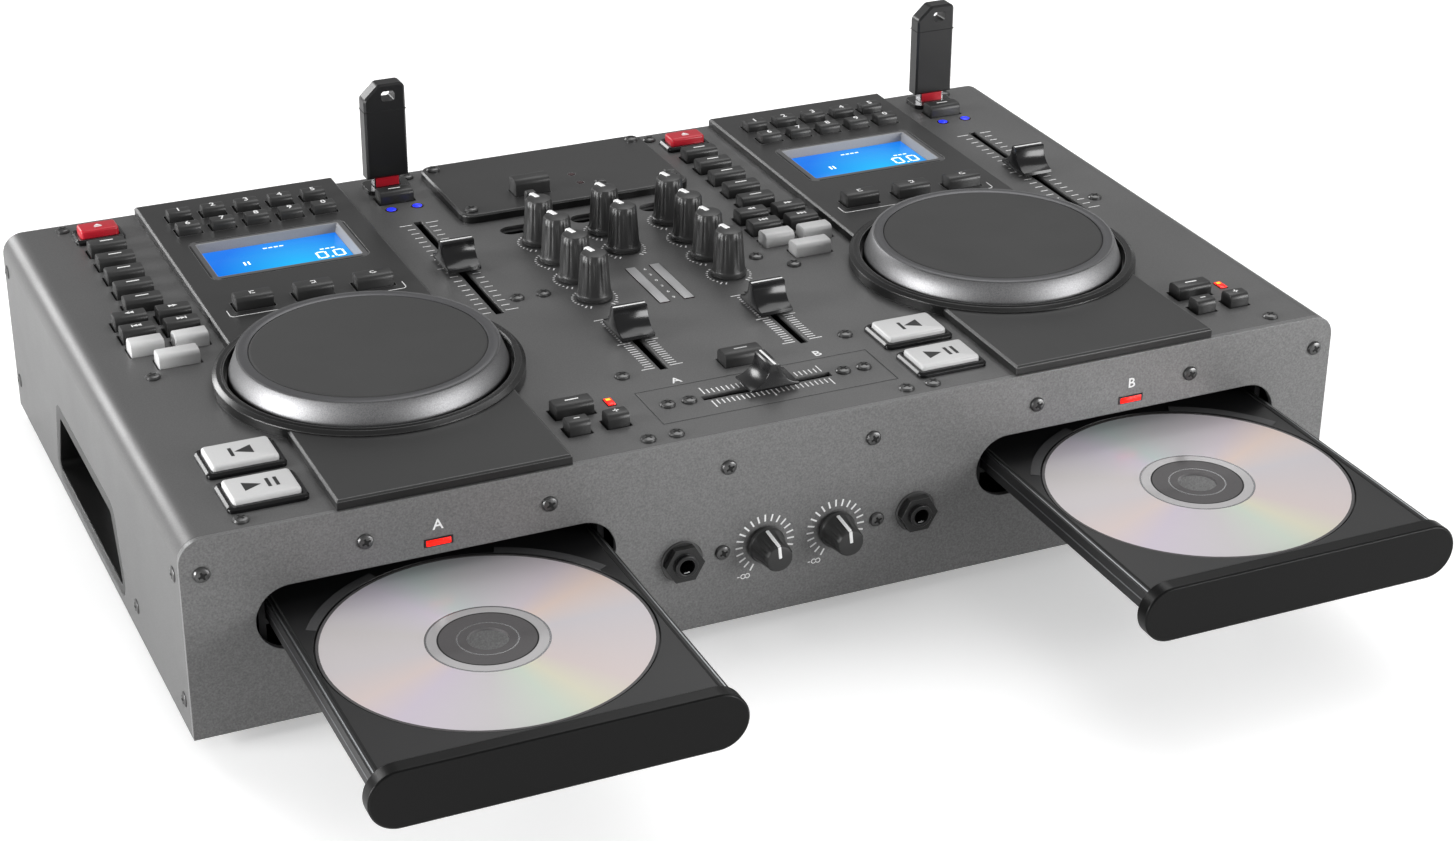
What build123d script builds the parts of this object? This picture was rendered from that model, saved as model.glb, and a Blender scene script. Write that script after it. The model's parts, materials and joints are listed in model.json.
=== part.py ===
from build123d import *
import os

# Dual disc player with a built-in mixer: two decks side by side, mixer between them.
# Millimetres. X runs to the right, Y into the unit, Z up. The origin is on the floor
# under the middle of the casing. Places on the top are measured from the front face.
# The trays stand open with a disc on each, and both memory sticks are plugged in.

# ---------------------------------------------------------------- casing
BODY_W = 482.6
BODY_D = 298.0
BODY_H = 81.0
SHEET_T = 1.5
PANEL_T = 2.5
EDGE_R = 9.0
FOOT_H = 6.0
FOOT_R = 11.0
FOOT_INSET_X = 41.0
FOOT_INSET_Y = 34.0
FLANGE_H = 18.0
LIP_H = 20.0
BOSS_R = 4.0

# ---------------------------------------------------------------- clearances
FIT = 0.2
SLIDE_FIT = 0.3
KEY_FIT = 0.35
SHAFT_FIT = 0.05
SCREW_FIT = 0.2

# ---------------------------------------------------------------- screws
SCREW_R = 1.5
SCREW_LEN = 5.0
HEAD_R = 3.0
HEAD_FLAT_H = 0.8
HEAD_PAN_H = 2.0

# ---------------------------------------------------------------- decks
DECK_X = 138.0
PLATE_W = 90.0
PLATE_T = 4.0
PLATE_FRONT = 1.0
PLATE_BACK = 297.0
PLATE_EDGE = 0.8
JOG_Y = 102.0
RING_R = 60.5
RING_CREST_R = 58.8
RING_H = 5.7
RING_EDGE_H = 4.4
WELL_R = 56.3
JOG_TOP_R = 50.6
JOG_BASE_R = 55.0
JOG_TOP_H = 13.5
JOG_BASE_H = 2.0
JOG_WALL = 3.0
JOG_HUB_R = 12.0
JOG_HUB_LIFT = 0.5
PAD_R = 46.2
PAD_T = 1.5
PAD_SINK = 0.3
SPINDLE_R = 4.0
SPINDLE_TAIL = 9.0
BUSH_R = 9.0
BUSH_FLANGE_R = 13.0
BUSH_FLANGE_T = 1.0
BUSH_LEN = 11.0

# ---------------------------------------------------------------- display
DISPLAY_W = 68.6
DISPLAY_D = 42.5
DISPLAY_Y = 226.8
DISPLAY_RIM = 2.6
DISPLAY_SINK = 4.7
DISPLAY_FRAME_H = 9.0
DISPLAY_R = 4.0

# ---------------------------------------------------------------- keys
KEY_FLANGE = 1.0
KEY_FLANGE_T = 1.6
KEY_FLANGE_DROP = 0.9
KEY_EDGE_R = 2.4
KEY_D = 9.0
LONG_KEY_W = 16.4
SHORT_KEY_W = 14.4
WIDE_KEY_W = 17.4
KEY_H = 5.5
NUMBER_KEY_W = 10.8
NUMBER_KEY_D = 8.0
NUMBER_KEY_H = 4.0
NUMBER_PITCH_X = 15.1
NUMBER_PITCH_Y = 16.0
NUMBER_Y = 269.0
NUMBER_COLUMNS = 5
NUMBER_ROWS = 2
LOOP_PITCH = 25.5
LOOP_Y = 176.4
LOOP_KEYS = 3
COLUMN_X = -65.4
COLUMN_Y = 231.0
COLUMN_PITCH = 15.5
COLUMN_KEYS = 5
SEEK_X = 9.0
SEEK_Y = 178.5
SEEK_PITCH = 13.2
EFFECT_Y = 158.8
EFFECT_LOW_Y = 144.2
SOURCE_X = 65.5
SOURCE_Y = 269.5
BEND_X = 60.2
BEND_Y = 40.9
NUDGE_X = 64.2
NUDGE_Y = 25.6
NUDGE_SPREAD = 15.8
NUDGE_W = 9.6
NUDGE_D = 8.0

# ---------------------------------------------------------------- large buttons
EJECT_X = -65.2
EJECT_Y = 279.5
EJECT_W = 16.6
EJECT_D = 9.6
EJECT_H = 5.6
TRANSPORT_X = -65.8
CUE_Y = 52.3
PLAY_Y = 24.3
TRANSPORT_W = 25.4
TRANSPORT_D = 17.4
TRANSPORT_H = 4.2
SURROUND_RIM = 2.4
SURROUND_H = 2.2
SURROUND_R = 2.5
BUTTON_EDGE = 0.9

# ---------------------------------------------------------------- pitch and mixer faders
SLOT_W = 3.6
STEM_T = 2.4
STEM_L = 4.0
STEM_END_GAP = 0.5
STEM_DEPTH = 7.0
CAP_W = 14.5
CAP_L = 21.0
CAP_TOP_L = 5.0
CAP_SHOULDER_L = 9.0
CAP_SHOULDER_H = 5.5
CAP_FOOT_H = 1.4
CAP_H = 12.4
CAP_EDGE = 1.2
PITCH_X = 66.4
PITCH_Y = 188.5
PITCH_TRAVEL = 100.0
FADER_X = 30.5
FADER_Y = 89.0
FADER_TRAVEL = 50.0
FADER_REST = 9.0
CROSS_Y = 31.8
HOUSING_W = 9.0
HOUSING_END = 3.0
HOUSING_WALL = 1.5
CROSS_PLATE_W = 99.0
CROSS_PLATE_D = 28.4
CROSS_SCREW_IN = 32.9
CROSS_SCREW_OUT = 41.9

# ---------------------------------------------------------------- knobs
KNOB_X = 30.4
KNOB_ROW_Y = 199.0
KNOB_PITCH = 21.2
KNOB_ROWS = 4
KNOB_BASE_R = 7.6
KNOB_TOP_R = 5.7
KNOB_H = 20.0
KNOB_LIFT = 0.8
KNOB_EDGE = 0.6
KNOB_BORE_R = 5.2
KNOB_BORE_H = 3.6
SHAFT_R = 3.0
SHAFT_TAIL = 8.0
POT_BUSH_R = 3.5
POT_BUSH_H = 2.6
POT_W = 11.0
POT_D = 12.0
FRONT_KNOB_LEN = 13.5
FRONT_KNOB_X = 15.1

# ---------------------------------------------------------------- lever switches
LEVER_X = 32.8
LEVER_Y = 216.0
LEVER_SLOT_W = 18.0
LEVER_SLOT_D = 9.0
LEVER_TRAVEL = 10.0
LEVER_H = 17.0
LEVER_W = 4.7
LEVER_T = 3.0
LEVER_FOOT_W = 7.4
LEVER_FOOT_H = 3.0
LEVER_DEPTH = 6.0
LEVER_BODY_W = 20.0
LEVER_BODY_D = 11.0

# ---------------------------------------------------------------- mixer plate, meters, lenses
MIX_PLATE_W = 108.0
MIX_PLATE_D = 63.0
MIX_PLATE_Y = 260.5
MIX_PLATE_R = 6.0
MIX_SCREW_X = 48.5
MIX_SCREW_DY = 25.6
LINK_KEY_X = -17.0
LINK_KEY_Y = 246.0
LINK_KEY_H = 7.5
START_KEY_Y = 57.0
LINK_LED_X = 7.4
LINK_LED_Y = 251.8
LINK_LED_DY = 5.3
LINK_LED_R = 1.5
METER_X = 5.5
METER_Y = 138.4
METER_W = 4.4
METER_D = 37.8
LENS_R = 2.5
LENS_Y = 258.5
LENS_DX = 6.0
BEND_LED_X = 76.5
BEND_LED_Y = 42.8
BEND_LED_W = 3.2
BEND_LED_D = 6.0
LENS_H = 2.0

# ---------------------------------------------------------------- front panel
TRAY_X = 146.1
SLOT_MOUTH_W = 138.6
SLOT_MOUTH_H = 26.4
SLOT_MOUTH_Z = 48.8
FRONT_ROW_Z = 37.0
JACK_X = 50.0
SMALL_SCREW_X = 33.0
PANEL_SCREWS_X = (30.5, 102.8, 173.5, 233.4)
PANEL_SCREW_Z = 73.2
TRAY_LED_Z = 67.0
TRAY_LED_W = 10.8
TRAY_LED_H = 3.0
JACK_SLEEVE_R = 4.6
JACK_BORE_R = 3.2
JACK_NUT_AF = 14.0
JACK_NUT_T = 4.0
JACK_NOSE = 1.6
JACK_BODY = 15.0
JACK_BODY_LEN = 24.0
FRONT_POT_DEPTH = 8.0
FRONT_BOARD_W = 124.0
FRONT_BOARD_H = 22.0

# ---------------------------------------------------------------- trays and discs
TRAY_OUT = 123.0
TRAY_FACE_PROUD = 1.0
FASCIA_W = 135.6
FASCIA_H = 22.4
FASCIA_T = 6.0
FASCIA_Z = 47.4
FASCIA_EDGE = 0.6
TRAY_HALF_W = 64.0
TRAY_LEN = 170.0
TRAY_TOP_Z = 54.5
TRAY_DECK_T = 5.0
TRAY_RAIL_W = 4.0
TRAY_RAIL_H = 8.0
DISC_R = 60.0
DISC_T = 1.2
DISC_HOLE_R = 7.5
DISC_CENTRE = 67.0
DISC_SEAT = 1.8
DISC_SEAT_FIT = 0.6
SMALL_SEAT_R = 40.6
SMALL_SEAT = 1.0
TRAY_WINDOW_R = 18.0
TRAY_WINDOW_W = 30.0
TRAY_WINDOW_L = 52.0

# ---------------------------------------------------------------- disc drives
DRIVE_WALL = 2.5
DRIVE_FLOOR_Z = 24.0
DRIVE_FLOOR_T = 2.0
DRIVE_TOP_Z = 61.0
DRIVE_FRONT = 6.0
DRIVE_BACK = 184.0
LEDGE_W = 3.0
LEDGE_T = 2.0
BRIDGE_W = 34.0
BRIDGE_T = 2.0
MOTOR_R = 14.0
HUB_GAP = 1.5
SLED_W = 34.0
SLED_L = 26.0
SLED_T = 8.0
SLED_GAP = 22.0

# ---------------------------------------------------------------- memory sticks
USB_Y = 284.0
USB_FLANGE_W = 20.0
USB_FLANGE_D = 13.4
USB_FLANGE_R = 3.0
USB_FLANGE_H = 2.0
USB_BODY_W = 17.0
USB_BODY_D = 10.6
USB_DEPTH = 12.0
USB_FLOOR = 1.5
USB_PLUG_W = 12.0
USB_PLUG_T = 4.5
USB_PLUG_IN = 11.5
STICK_LIFT = 6.5
STICK_W = 19.2
STICK_T = 8.0
STICK_H = 44.0
STICK_CORNER_W = 7.0
STICK_CORNER_H = 6.5
STICK_EYE_W = 6.2
STICK_EYE_H = 4.6
STICK_EYE_X = 1.6
STICK_EYE_DROP = 5.6
STICK_EYE_R = 1.5
STICK_CORNER_R = 2.8
STICK_EDGE = 0.9

# ---------------------------------------------------------------- side grips
GRIP_Y = 158.0
GRIP_BASE_W = 122.0
GRIP_TOP_W = 98.0
GRIP_BOTTOM_H = 4.0
GRIP_H = 38.0
GRIP_DEPTH = 14.0
GRIP_WALL = 2.0
GRIP_RIM = 5.0
GRIP_R = 8.0

# ---------------------------------------------------------------- boards
BOARD_T = 1.6
KEY_BOARD_DROP = 4.0
MIX_BOARD_DROP = 9.5
MIX_BOARD_W = 108.0
MIX_BOARD_FRONT = 8.0
MIX_BOARD_BACK = 226.0
POST_R = 2.2
LINK_BOARD_W = 70.0
LINK_BOARD_D = 40.0
LINK_BOARD_Y = 254.0
DECK_BOARD_W = 81.0
LEFT_BOARD_W = 46.0
LEFT_BOARD_Y = 216.0
LEFT_BOARD_D = 156.0
LOW_BOARD_Y = 38.0
LOW_BOARD_D = 66.0
NUMBER_BOARD_D = 40.0
LOOP_BOARD_D = 20.0
RIGHT_BOARD_W = 46.0
RIGHT_BOARD_D = 27.0
SOURCE_BOARD_Y = 263.5
BEND_BOARD_Y = 33.0
SUPPLY_W = 120.0
SUPPLY_D = 70.0
SUPPLY_Y = 228.0
SUPPLY_POST_H = 6.5
TRANSFORMER_W = 40.0
TRANSFORMER_D = 34.0
TRANSFORMER_H = 28.0
CAPACITOR_R = 6.0
CAPACITOR_H = 22.0
CAPACITOR_PITCH = 16.0

# ---------------------------------------------------------------- rear sockets
INLET_X = -190.0
INLET_Z = 30.0
INLET_W = 27.0
INLET_H = 20.0
INLET_DEPTH = 20.0
INLET_CAVITY_W = 24.0
INLET_CAVITY_H = 16.5
INLET_CAVITY = 15.0
INLET_FLANGE = 2.0
INLET_FLANGE_T = 1.8
PIN_W = 2.0
PIN_H = 4.0
PIN_PITCH = 7.0
PIN_LEN = 11.0
SWITCH_X = -155.0
SWITCH_W = 13.0
SWITCH_H = 19.0
SWITCH_DEPTH = 14.0
SWITCH_RIM = 1.5
ROCKER_PROUD = 2.4
ROCKER_PIN_R = 1.2
PHONO_X = 60.0
PHONO_PITCH_X = 18.0
PHONO_PITCH_Z = 16.0
PHONO_COLUMNS = 6
PHONO_R = 4.1
PHONO_CORE_R = 1.65
PHONO_LEN = 9.0
PHONO_WALL_GAP = 0.6
PHONO_PLATE_T = 2.0
PHONO_MARGIN = 8.0

# ---------------------------------------------------------------- worked-out places
FRONT = -BODY_D / 2
BACK = BODY_D / 2
COVER_FRONT = FRONT + PANEL_T
TOP = FOOT_H + BODY_H
SHEET_UNDER = TOP - SHEET_T
PLATE_TOP = TOP + PLATE_T
INNER_HALF_W = BODY_W / 2 - SHEET_T - FIT
SCREW_HOLE_R = SCREW_R + SCREW_FIT
KEY_FLANGE_TOP = SHEET_UNDER - KEY_FLANGE_DROP
KEY_FOOT = KEY_FLANGE_TOP - KEY_FLANGE_T
KEY_BOARD_TOP = SHEET_UNDER - KEY_BOARD_DROP
MIX_BOARD_TOP = SHEET_UNDER - MIX_BOARD_DROP
JOG_BASE = TOP + JOG_BASE_H
JOG_TOP = TOP + JOG_TOP_H
TRAY_DECK_UNDER = TRAY_TOP_Z - TRAY_DECK_T
TRAY_RAIL_UNDER = TRAY_TOP_Z - TRAY_RAIL_H
FASCIA_FACE = FRONT - TRAY_FACE_PROUD - TRAY_OUT
FASCIA_REAR = FASCIA_FACE + FASCIA_T
DISC_Y = FASCIA_REAR + DISC_CENTRE
DISC_Z = TRAY_TOP_Z - DISC_SEAT + SLIDE_FIT
TRAY_GUIDE_HALF_W = TRAY_HALF_W + SLIDE_FIT
CLAMP_Y = DISC_Y + TRAY_OUT
DECKS = (("a", -DECK_X, -TRAY_X), ("b", DECK_X, TRAY_X))
SIDE_SCREWS = ((10.0, 70.0), (10.0, 18.0), (80.0, 19.0), (292.0, 72.0), (292.0, 20.0))
DECK_SCREWS = ((-78.0, 291.5), (-78.0, 133.5), (-78.0, 8.0),
               (78.8, 292.0), (78.0, 147.3), (78.0, 8.0))
MIXER_SCREWS_Y = (147.0, 61.5, 8.0)
KNOB_ROWS_Y = [KNOB_ROW_Y - KNOB_PITCH * row for row in range(KNOB_ROWS)]


def from_front(distance):
    """Y of a place measured from the front face."""
    return FRONT + distance


def save(builder, name):
    """Label a finished piece and write its file."""
    builder.part.label = name
    export_step(builder.part, f"parts/{name}.step")


def save_group(builders, name):
    """Write pieces that touch but aren't one solid as one file."""
    solids = [solid for builder in builders for solid in builder.part.solids()]
    export_step(Compound(label=name, children=solids), f"parts/{name}.step")


def fader_slot(travel):
    """Length of a fader's slot for its travel."""
    return travel + STEM_L + 2 * STEM_END_GAP


def deck_key_places(x):
    """Every small key of a deck: centre, size, top height above the sheet."""
    keys = []
    for row in range(NUMBER_ROWS):
        for column in range(NUMBER_COLUMNS):
            key_x = x + NUMBER_PITCH_X * (column - (NUMBER_COLUMNS - 1) / 2)
            key_y = NUMBER_Y + NUMBER_PITCH_Y * (row - (NUMBER_ROWS - 1) / 2)
            keys.append((key_x, key_y, NUMBER_KEY_W, NUMBER_KEY_D, PLATE_T + NUMBER_KEY_H))
    for column in range(LOOP_KEYS):
        key_x = x + LOOP_PITCH * (column - (LOOP_KEYS - 1) / 2)
        keys.append((key_x, LOOP_Y, LONG_KEY_W, KEY_D, PLATE_T + KEY_H))
    for row in range(COLUMN_KEYS):
        key_y = COLUMN_Y + COLUMN_PITCH * (row - (COLUMN_KEYS - 1) / 2)
        keys.append((x + COLUMN_X, key_y, LONG_KEY_W, KEY_D, KEY_H))
    for side in (-1, 1):
        key_x = x + COLUMN_X + side * SEEK_X
        for row in (-1, 1):
            keys.append((key_x, SEEK_Y + row * SEEK_PITCH / 2, SHORT_KEY_W, KEY_D, KEY_H))
        keys.append((key_x, EFFECT_Y, SHORT_KEY_W, KEY_D, KEY_H))
    keys.append((x + COLUMN_X, EFFECT_LOW_Y, WIDE_KEY_W, KEY_D, KEY_H))
    keys.append((x + SOURCE_X, SOURCE_Y, LONG_KEY_W, KEY_D, KEY_H))
    keys.append((x + BEND_X, BEND_Y, LONG_KEY_W, KEY_D, KEY_H))
    for side in (-1, 1):
        key_x = x + NUDGE_X + side * NUDGE_SPREAD / 2
        keys.append((key_x, NUDGE_Y, NUDGE_W, NUDGE_D, KEY_H))
    return keys


def large_button_places(x):
    """Eject, cue and play: name, centre, size, top height above the sheet."""
    return (
        ("eject_button", x + EJECT_X, EJECT_Y, EJECT_W, EJECT_D, EJECT_H),
        ("cue_button", x + TRANSPORT_X, CUE_Y, TRANSPORT_W, TRANSPORT_D, TRANSPORT_H),
        ("play_button", x + TRANSPORT_X, PLAY_Y, TRANSPORT_W, TRANSPORT_D, TRANSPORT_H),
    )


def top_screw_places():
    """Screws that go straight into the top sheet."""
    places = [(x + dx, from_front(y)) for _, x, _ in DECKS for dx, y in DECK_SCREWS]
    places += [(side * MIX_SCREW_X, from_front(y)) for side in (-1, 1) for y in MIXER_SCREWS_Y]
    return places


def mix_plate_screw_places():
    """Screws of the raised rear mixer plate."""
    y = from_front(MIX_PLATE_Y)
    return [(sx * MIX_SCREW_X, y + sy * MIX_SCREW_DY) for sx in (-1, 1) for sy in (-1, 1)]


def cross_screw_places():
    """Screws of the crossfader plate."""
    return [(side * x, from_front(CROSS_Y)) for side in (-1, 1) for x in (CROSS_SCREW_IN, CROSS_SCREW_OUT)]


def knob_places():
    """Mixer knobs: name, centre."""
    places = []
    for side, x in (("a", -KNOB_X), ("b", KNOB_X)):
        for row_name, y in zip(("gain", "high", "mid", "low"), KNOB_ROWS_Y):
            places.append((f"{row_name}_knob_{side}", x, y))
    places.append(("cue_mix_knob", 0.0, KNOB_ROWS_Y[0]))
    places.append(("master_knob", 0.0, KNOB_ROWS_Y[1]))
    return places


def lever_places():
    """Lever switches: name, X of the slot's middle."""
    return (("source_switch_a", -LEVER_X), ("cue_switch", 0.0), ("source_switch_b", LEVER_X))


# ---------------------------------------------------------------- casing pieces
def build_top_cover():
    """Folded steel cover: top and both sides in one sheet."""
    with BuildPart() as top_cover:
        with BuildSketch(Plane.XZ.offset(-BACK)):
            add(casing_outline(0.0))
            add(casing_outline(SHEET_T), mode=Mode.SUBTRACT)
        extrude(amount=BACK - COVER_FRONT)
        with BuildSketch(Plane.XY.offset(TOP)):
            for _, x, _ in DECKS:
                with Locations((x, from_front(JOG_Y))):
                    Circle(BUSH_R + FIT)
                with Locations((x, from_front(DISPLAY_Y))):
                    Rectangle(DISPLAY_W, DISPLAY_D)
                with Locations((x, from_front(NUMBER_Y))):
                    Rectangle(NUMBER_COLUMNS * NUMBER_PITCH_X, NUMBER_ROWS * NUMBER_PITCH_Y)
                with Locations((x, from_front(LOOP_Y))):
                    Rectangle(LOOP_KEYS * LOOP_PITCH, KEY_D + 2 * KEY_FLANGE + 2 * FIT)
                for key_x, key_y, width, depth, height in deck_key_places(x):
                    if height <= KEY_H:
                        with Locations((key_x, from_front(key_y))):
                            Rectangle(width + 2 * KEY_FIT, depth + 2 * KEY_FIT)
                for _, key_x, key_y, width, depth, _ in large_button_places(x):
                    with Locations((key_x, from_front(key_y))):
                        Rectangle(width + 2 * KEY_FIT, depth + 2 * KEY_FIT)
                with Locations((x + PITCH_X, from_front(PITCH_Y))):
                    Rectangle(SLOT_W, fader_slot(PITCH_TRAVEL))
                with Locations((x + PITCH_X, from_front(USB_Y))):
                    Rectangle(USB_BODY_W + 2 * FIT, USB_BODY_D + 2 * FIT)
                with Locations((x + PITCH_X - LENS_DX, from_front(LENS_Y)),
                               (x + PITCH_X + LENS_DX, from_front(LENS_Y))):
                    Circle(LENS_R + FIT)
                with Locations((x + BEND_LED_X, from_front(BEND_LED_Y))):
                    Rectangle(BEND_LED_W + 2 * FIT, BEND_LED_D + 2 * FIT)
            for _, x, y in knob_places():
                with Locations((x, from_front(y))):
                    Circle(POT_BUSH_R + FIT)
            for _, x in lever_places():
                with Locations((x, from_front(LEVER_Y))):
                    SlotOverall(LEVER_SLOT_W, LEVER_SLOT_D)
            for side in (-1, 1):
                with Locations((side * METER_X, from_front(METER_Y))):
                    Rectangle(METER_W + 2 * FIT, METER_D + 2 * FIT)
                with Locations((side * FADER_X, from_front(FADER_Y))):
                    Rectangle(SLOT_W, fader_slot(FADER_TRAVEL))
            with Locations((0, from_front(CROSS_Y))):
                Rectangle(CROSS_PLATE_W + 2 * FIT, CROSS_PLATE_D + 2 * FIT)
            with Locations((0, from_front(START_KEY_Y)), (LINK_KEY_X, from_front(LINK_KEY_Y))):
                Rectangle(LONG_KEY_W + 2 * KEY_FIT, KEY_D + 2 * KEY_FIT)
            with Locations((LINK_LED_X, from_front(LINK_LED_Y - LINK_LED_DY)),
                           (LINK_LED_X, from_front(LINK_LED_Y + LINK_LED_DY))):
                Circle(LINK_LED_R + FIT)
            with Locations(*top_screw_places(), *mix_plate_screw_places()):
                Circle(SCREW_HOLE_R)
        extrude(amount=-2 * SHEET_T, mode=Mode.SUBTRACT)
        with BuildSketch(Plane.YZ.offset(-BODY_W / 2)):
            add(grip_outline(FIT))
            with Locations(*[(from_front(y), z) for y, z in SIDE_SCREWS]):
                Circle(SCREW_HOLE_R)
        extrude(amount=BODY_W, mode=Mode.SUBTRACT)
    save(top_cover, "top_cover")


def casing_outline(inset):
    """Cross-section of the casing with round top corners, drawn in by a margin."""
    with BuildSketch() as outline:
        with Locations((0, FOOT_H)):
            Rectangle(BODY_W - 2 * inset, BODY_H - inset, align=(Align.CENTER, Align.MIN))
        fillet(outline.vertices().group_by(Axis.Y)[-1], radius=EDGE_R - inset)
    return outline.sketch_local


def grip_outline(grow):
    """Outline of a side grip, grown by a margin: a trapezoid with round corners."""
    half_base = GRIP_BASE_W / 2 + grow
    half_top = GRIP_TOP_W / 2 + grow
    low = FOOT_H + GRIP_BOTTOM_H - grow
    high = FOOT_H + GRIP_BOTTOM_H + GRIP_H + grow
    centre = from_front(GRIP_Y)
    with BuildSketch() as outline:
        with BuildLine():
            Polyline((centre - half_base, low), (centre + half_base, low),
                     (centre + half_top, high), (centre - half_top, high), close=True)
        make_face()
        fillet(outline.vertices(), radius=GRIP_R + grow)
    return outline.sketch_local


def build_grips():
    """Two plastic finger recesses, one in each side of the cover."""
    with BuildPart() as side_grips:
        for side in (-1, 1):
            with BuildSketch(Plane.YZ.offset(side * BODY_W / 2)):
                add(grip_outline(0.0))
            extrude(amount=-side * GRIP_DEPTH)
            with BuildSketch(Plane.YZ.offset(side * BODY_W / 2)):
                add(grip_outline(-GRIP_RIM))
            extrude(amount=-side * (GRIP_DEPTH - GRIP_WALL), mode=Mode.SUBTRACT)
    save(side_grips, "side_grips")


def build_front_panel():
    """Metal front plate with tray mouths, sockets, knobs and lamps."""
    with BuildPart() as front_panel:
        with BuildSketch(Plane.XZ.offset(-COVER_FRONT)):
            add(casing_outline(0.0))
            for side in (-1, 1):
                with Locations((side * TRAY_X, SLOT_MOUTH_Z)):
                    SlotOverall(SLOT_MOUTH_W, SLOT_MOUTH_H, mode=Mode.SUBTRACT)
                with Locations((side * TRAY_X, TRAY_LED_Z)):
                    Rectangle(TRAY_LED_W + 2 * FIT, TRAY_LED_H + 2 * FIT, mode=Mode.SUBTRACT)
                with Locations((side * JACK_X, FRONT_ROW_Z)):
                    Circle(JACK_SLEEVE_R + FIT, mode=Mode.SUBTRACT)
                with Locations((side * FRONT_KNOB_X, FRONT_ROW_Z)):
                    Circle(POT_BUSH_R + FIT, mode=Mode.SUBTRACT)
            with Locations(*front_screw_places()):
                Circle(SCREW_HOLE_R, mode=Mode.SUBTRACT)
        extrude(amount=PANEL_T)
    save(front_panel, "front_panel")


def front_screw_places():
    """Front panel screws as X, Z."""
    places = [(side * x, PANEL_SCREW_Z) for side in (-1, 1) for x in PANEL_SCREWS_X]
    places += [(side * SMALL_SCREW_X, FRONT_ROW_Z) for side in (-1, 1)]
    return places


def build_base_pan():
    """Floor with side flanges, front lip and rear wall welded on, and pressed-in standoffs."""
    grip_half = GRIP_BASE_W / 2 + GRIP_WALL
    floor_top = FOOT_H + SHEET_T
    with BuildPart() as floor:
        with BuildSketch(Plane.XY.offset(FOOT_H)):
            with Locations((0, COVER_FRONT)):
                Rectangle(2 * INNER_HALF_W, BACK - SHEET_T - COVER_FRONT,
                          align=(Align.CENTER, Align.MIN))
        extrude(amount=SHEET_T)
    with BuildPart() as rear_wall:
        with BuildSketch(Plane.XZ.offset(-BACK)):
            add(casing_outline(SHEET_T + FIT))
            with Locations((INLET_X, INLET_Z)):
                Rectangle(INLET_W + 2 * FIT, INLET_H + 2 * FIT, mode=Mode.SUBTRACT)
            with Locations((SWITCH_X, INLET_Z)):
                Rectangle(SWITCH_W + 2 * FIT, SWITCH_H + 2 * FIT, mode=Mode.SUBTRACT)
            with Locations(*phono_places()):
                Circle(PHONO_R + PHONO_WALL_GAP, mode=Mode.SUBTRACT)
        extrude(amount=SHEET_T)
    with BuildPart() as lip:
        with BuildSketch(Plane.XZ.offset(-COVER_FRONT)):
            with Locations((0, floor_top)):
                Rectangle(2 * INNER_HALF_W, LIP_H - SHEET_T, align=(Align.CENTER, Align.MIN))
        extrude(amount=-SHEET_T)
    with BuildPart() as flanges:
        for side in (-1, 1):
            with BuildSketch(Plane.YZ.offset(side * INNER_HALF_W)):
                with Locations((COVER_FRONT + SHEET_T, floor_top)):
                    Rectangle(BACK - COVER_FRONT - 2 * SHEET_T, FLANGE_H - SHEET_T, align=Align.MIN)
                with Locations((from_front(GRIP_Y), floor_top)):
                    Rectangle(2 * grip_half, FLANGE_H, align=(Align.CENTER, Align.MIN),
                              mode=Mode.SUBTRACT)
            extrude(amount=-side * SHEET_T)
        with BuildSketch(Plane.YZ.offset(-BODY_W / 2)):
            with Locations(*[(from_front(y), z) for y, z in SIDE_SCREWS]):
                Circle(SCREW_HOLE_R)
        extrude(amount=BODY_W, mode=Mode.SUBTRACT)
    with BuildPart() as standoffs:
        with BuildSketch(Plane.XY.offset(floor_top)):
            with Locations(*drive_boss_places()):
                Circle(BOSS_R)
        extrude(amount=DRIVE_FLOOR_Z - floor_top)
        with BuildSketch(Plane.XY.offset(floor_top)):
            with Locations(*supply_post_places()):
                Circle(BOSS_R)
        extrude(amount=SUPPLY_POST_H)
    save_group((floor, rear_wall, lip, flanges, standoffs), "base_pan")


def drive_boss_places():
    """Bosses under both disc drives."""
    ys = (from_front(DRIVE_FRONT) + 4 * BOSS_R, from_front(DRIVE_BACK) - 2 * BOSS_R)
    half = TRAY_HALF_W - 2 * BOSS_R
    return [(x + side * half, y) for _, _, x in DECKS for side in (-1, 1) for y in ys]


def supply_post_places():
    """Posts under the power supply board."""
    half_w = SUPPLY_W / 2 - 2 * BOSS_R
    half_d = SUPPLY_D / 2 - 2 * BOSS_R
    y = from_front(SUPPLY_Y)
    return [(sx * half_w, y + sy * half_d) for sx in (-1, 1) for sy in (-1, 1)]


def phono_places():
    """Rear phono sockets as X, Z."""
    places = []
    for column in range(PHONO_COLUMNS):
        x = PHONO_X + PHONO_PITCH_X * column
        places += [(x, INLET_Z - PHONO_PITCH_Z / 2), (x, INLET_Z + PHONO_PITCH_Z / 2)]
    return places


def build_feet():
    """Rubber feet: one near each corner and one under the middle of the wide floor."""
    x = BODY_W / 2 - FOOT_INSET_X
    y = BODY_D / 2 - FOOT_INSET_Y
    with BuildPart() as feet:
        with BuildSketch(Plane.XY):
            with GridLocations(2 * x, 2 * y, 2, 2):
                Circle(FOOT_R)
            Circle(FOOT_R)
        extrude(amount=FOOT_H)
        chamfer(edges().group_by(Axis.Z)[0], length=PLATE_EDGE)
    save(feet, "feet")


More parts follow.
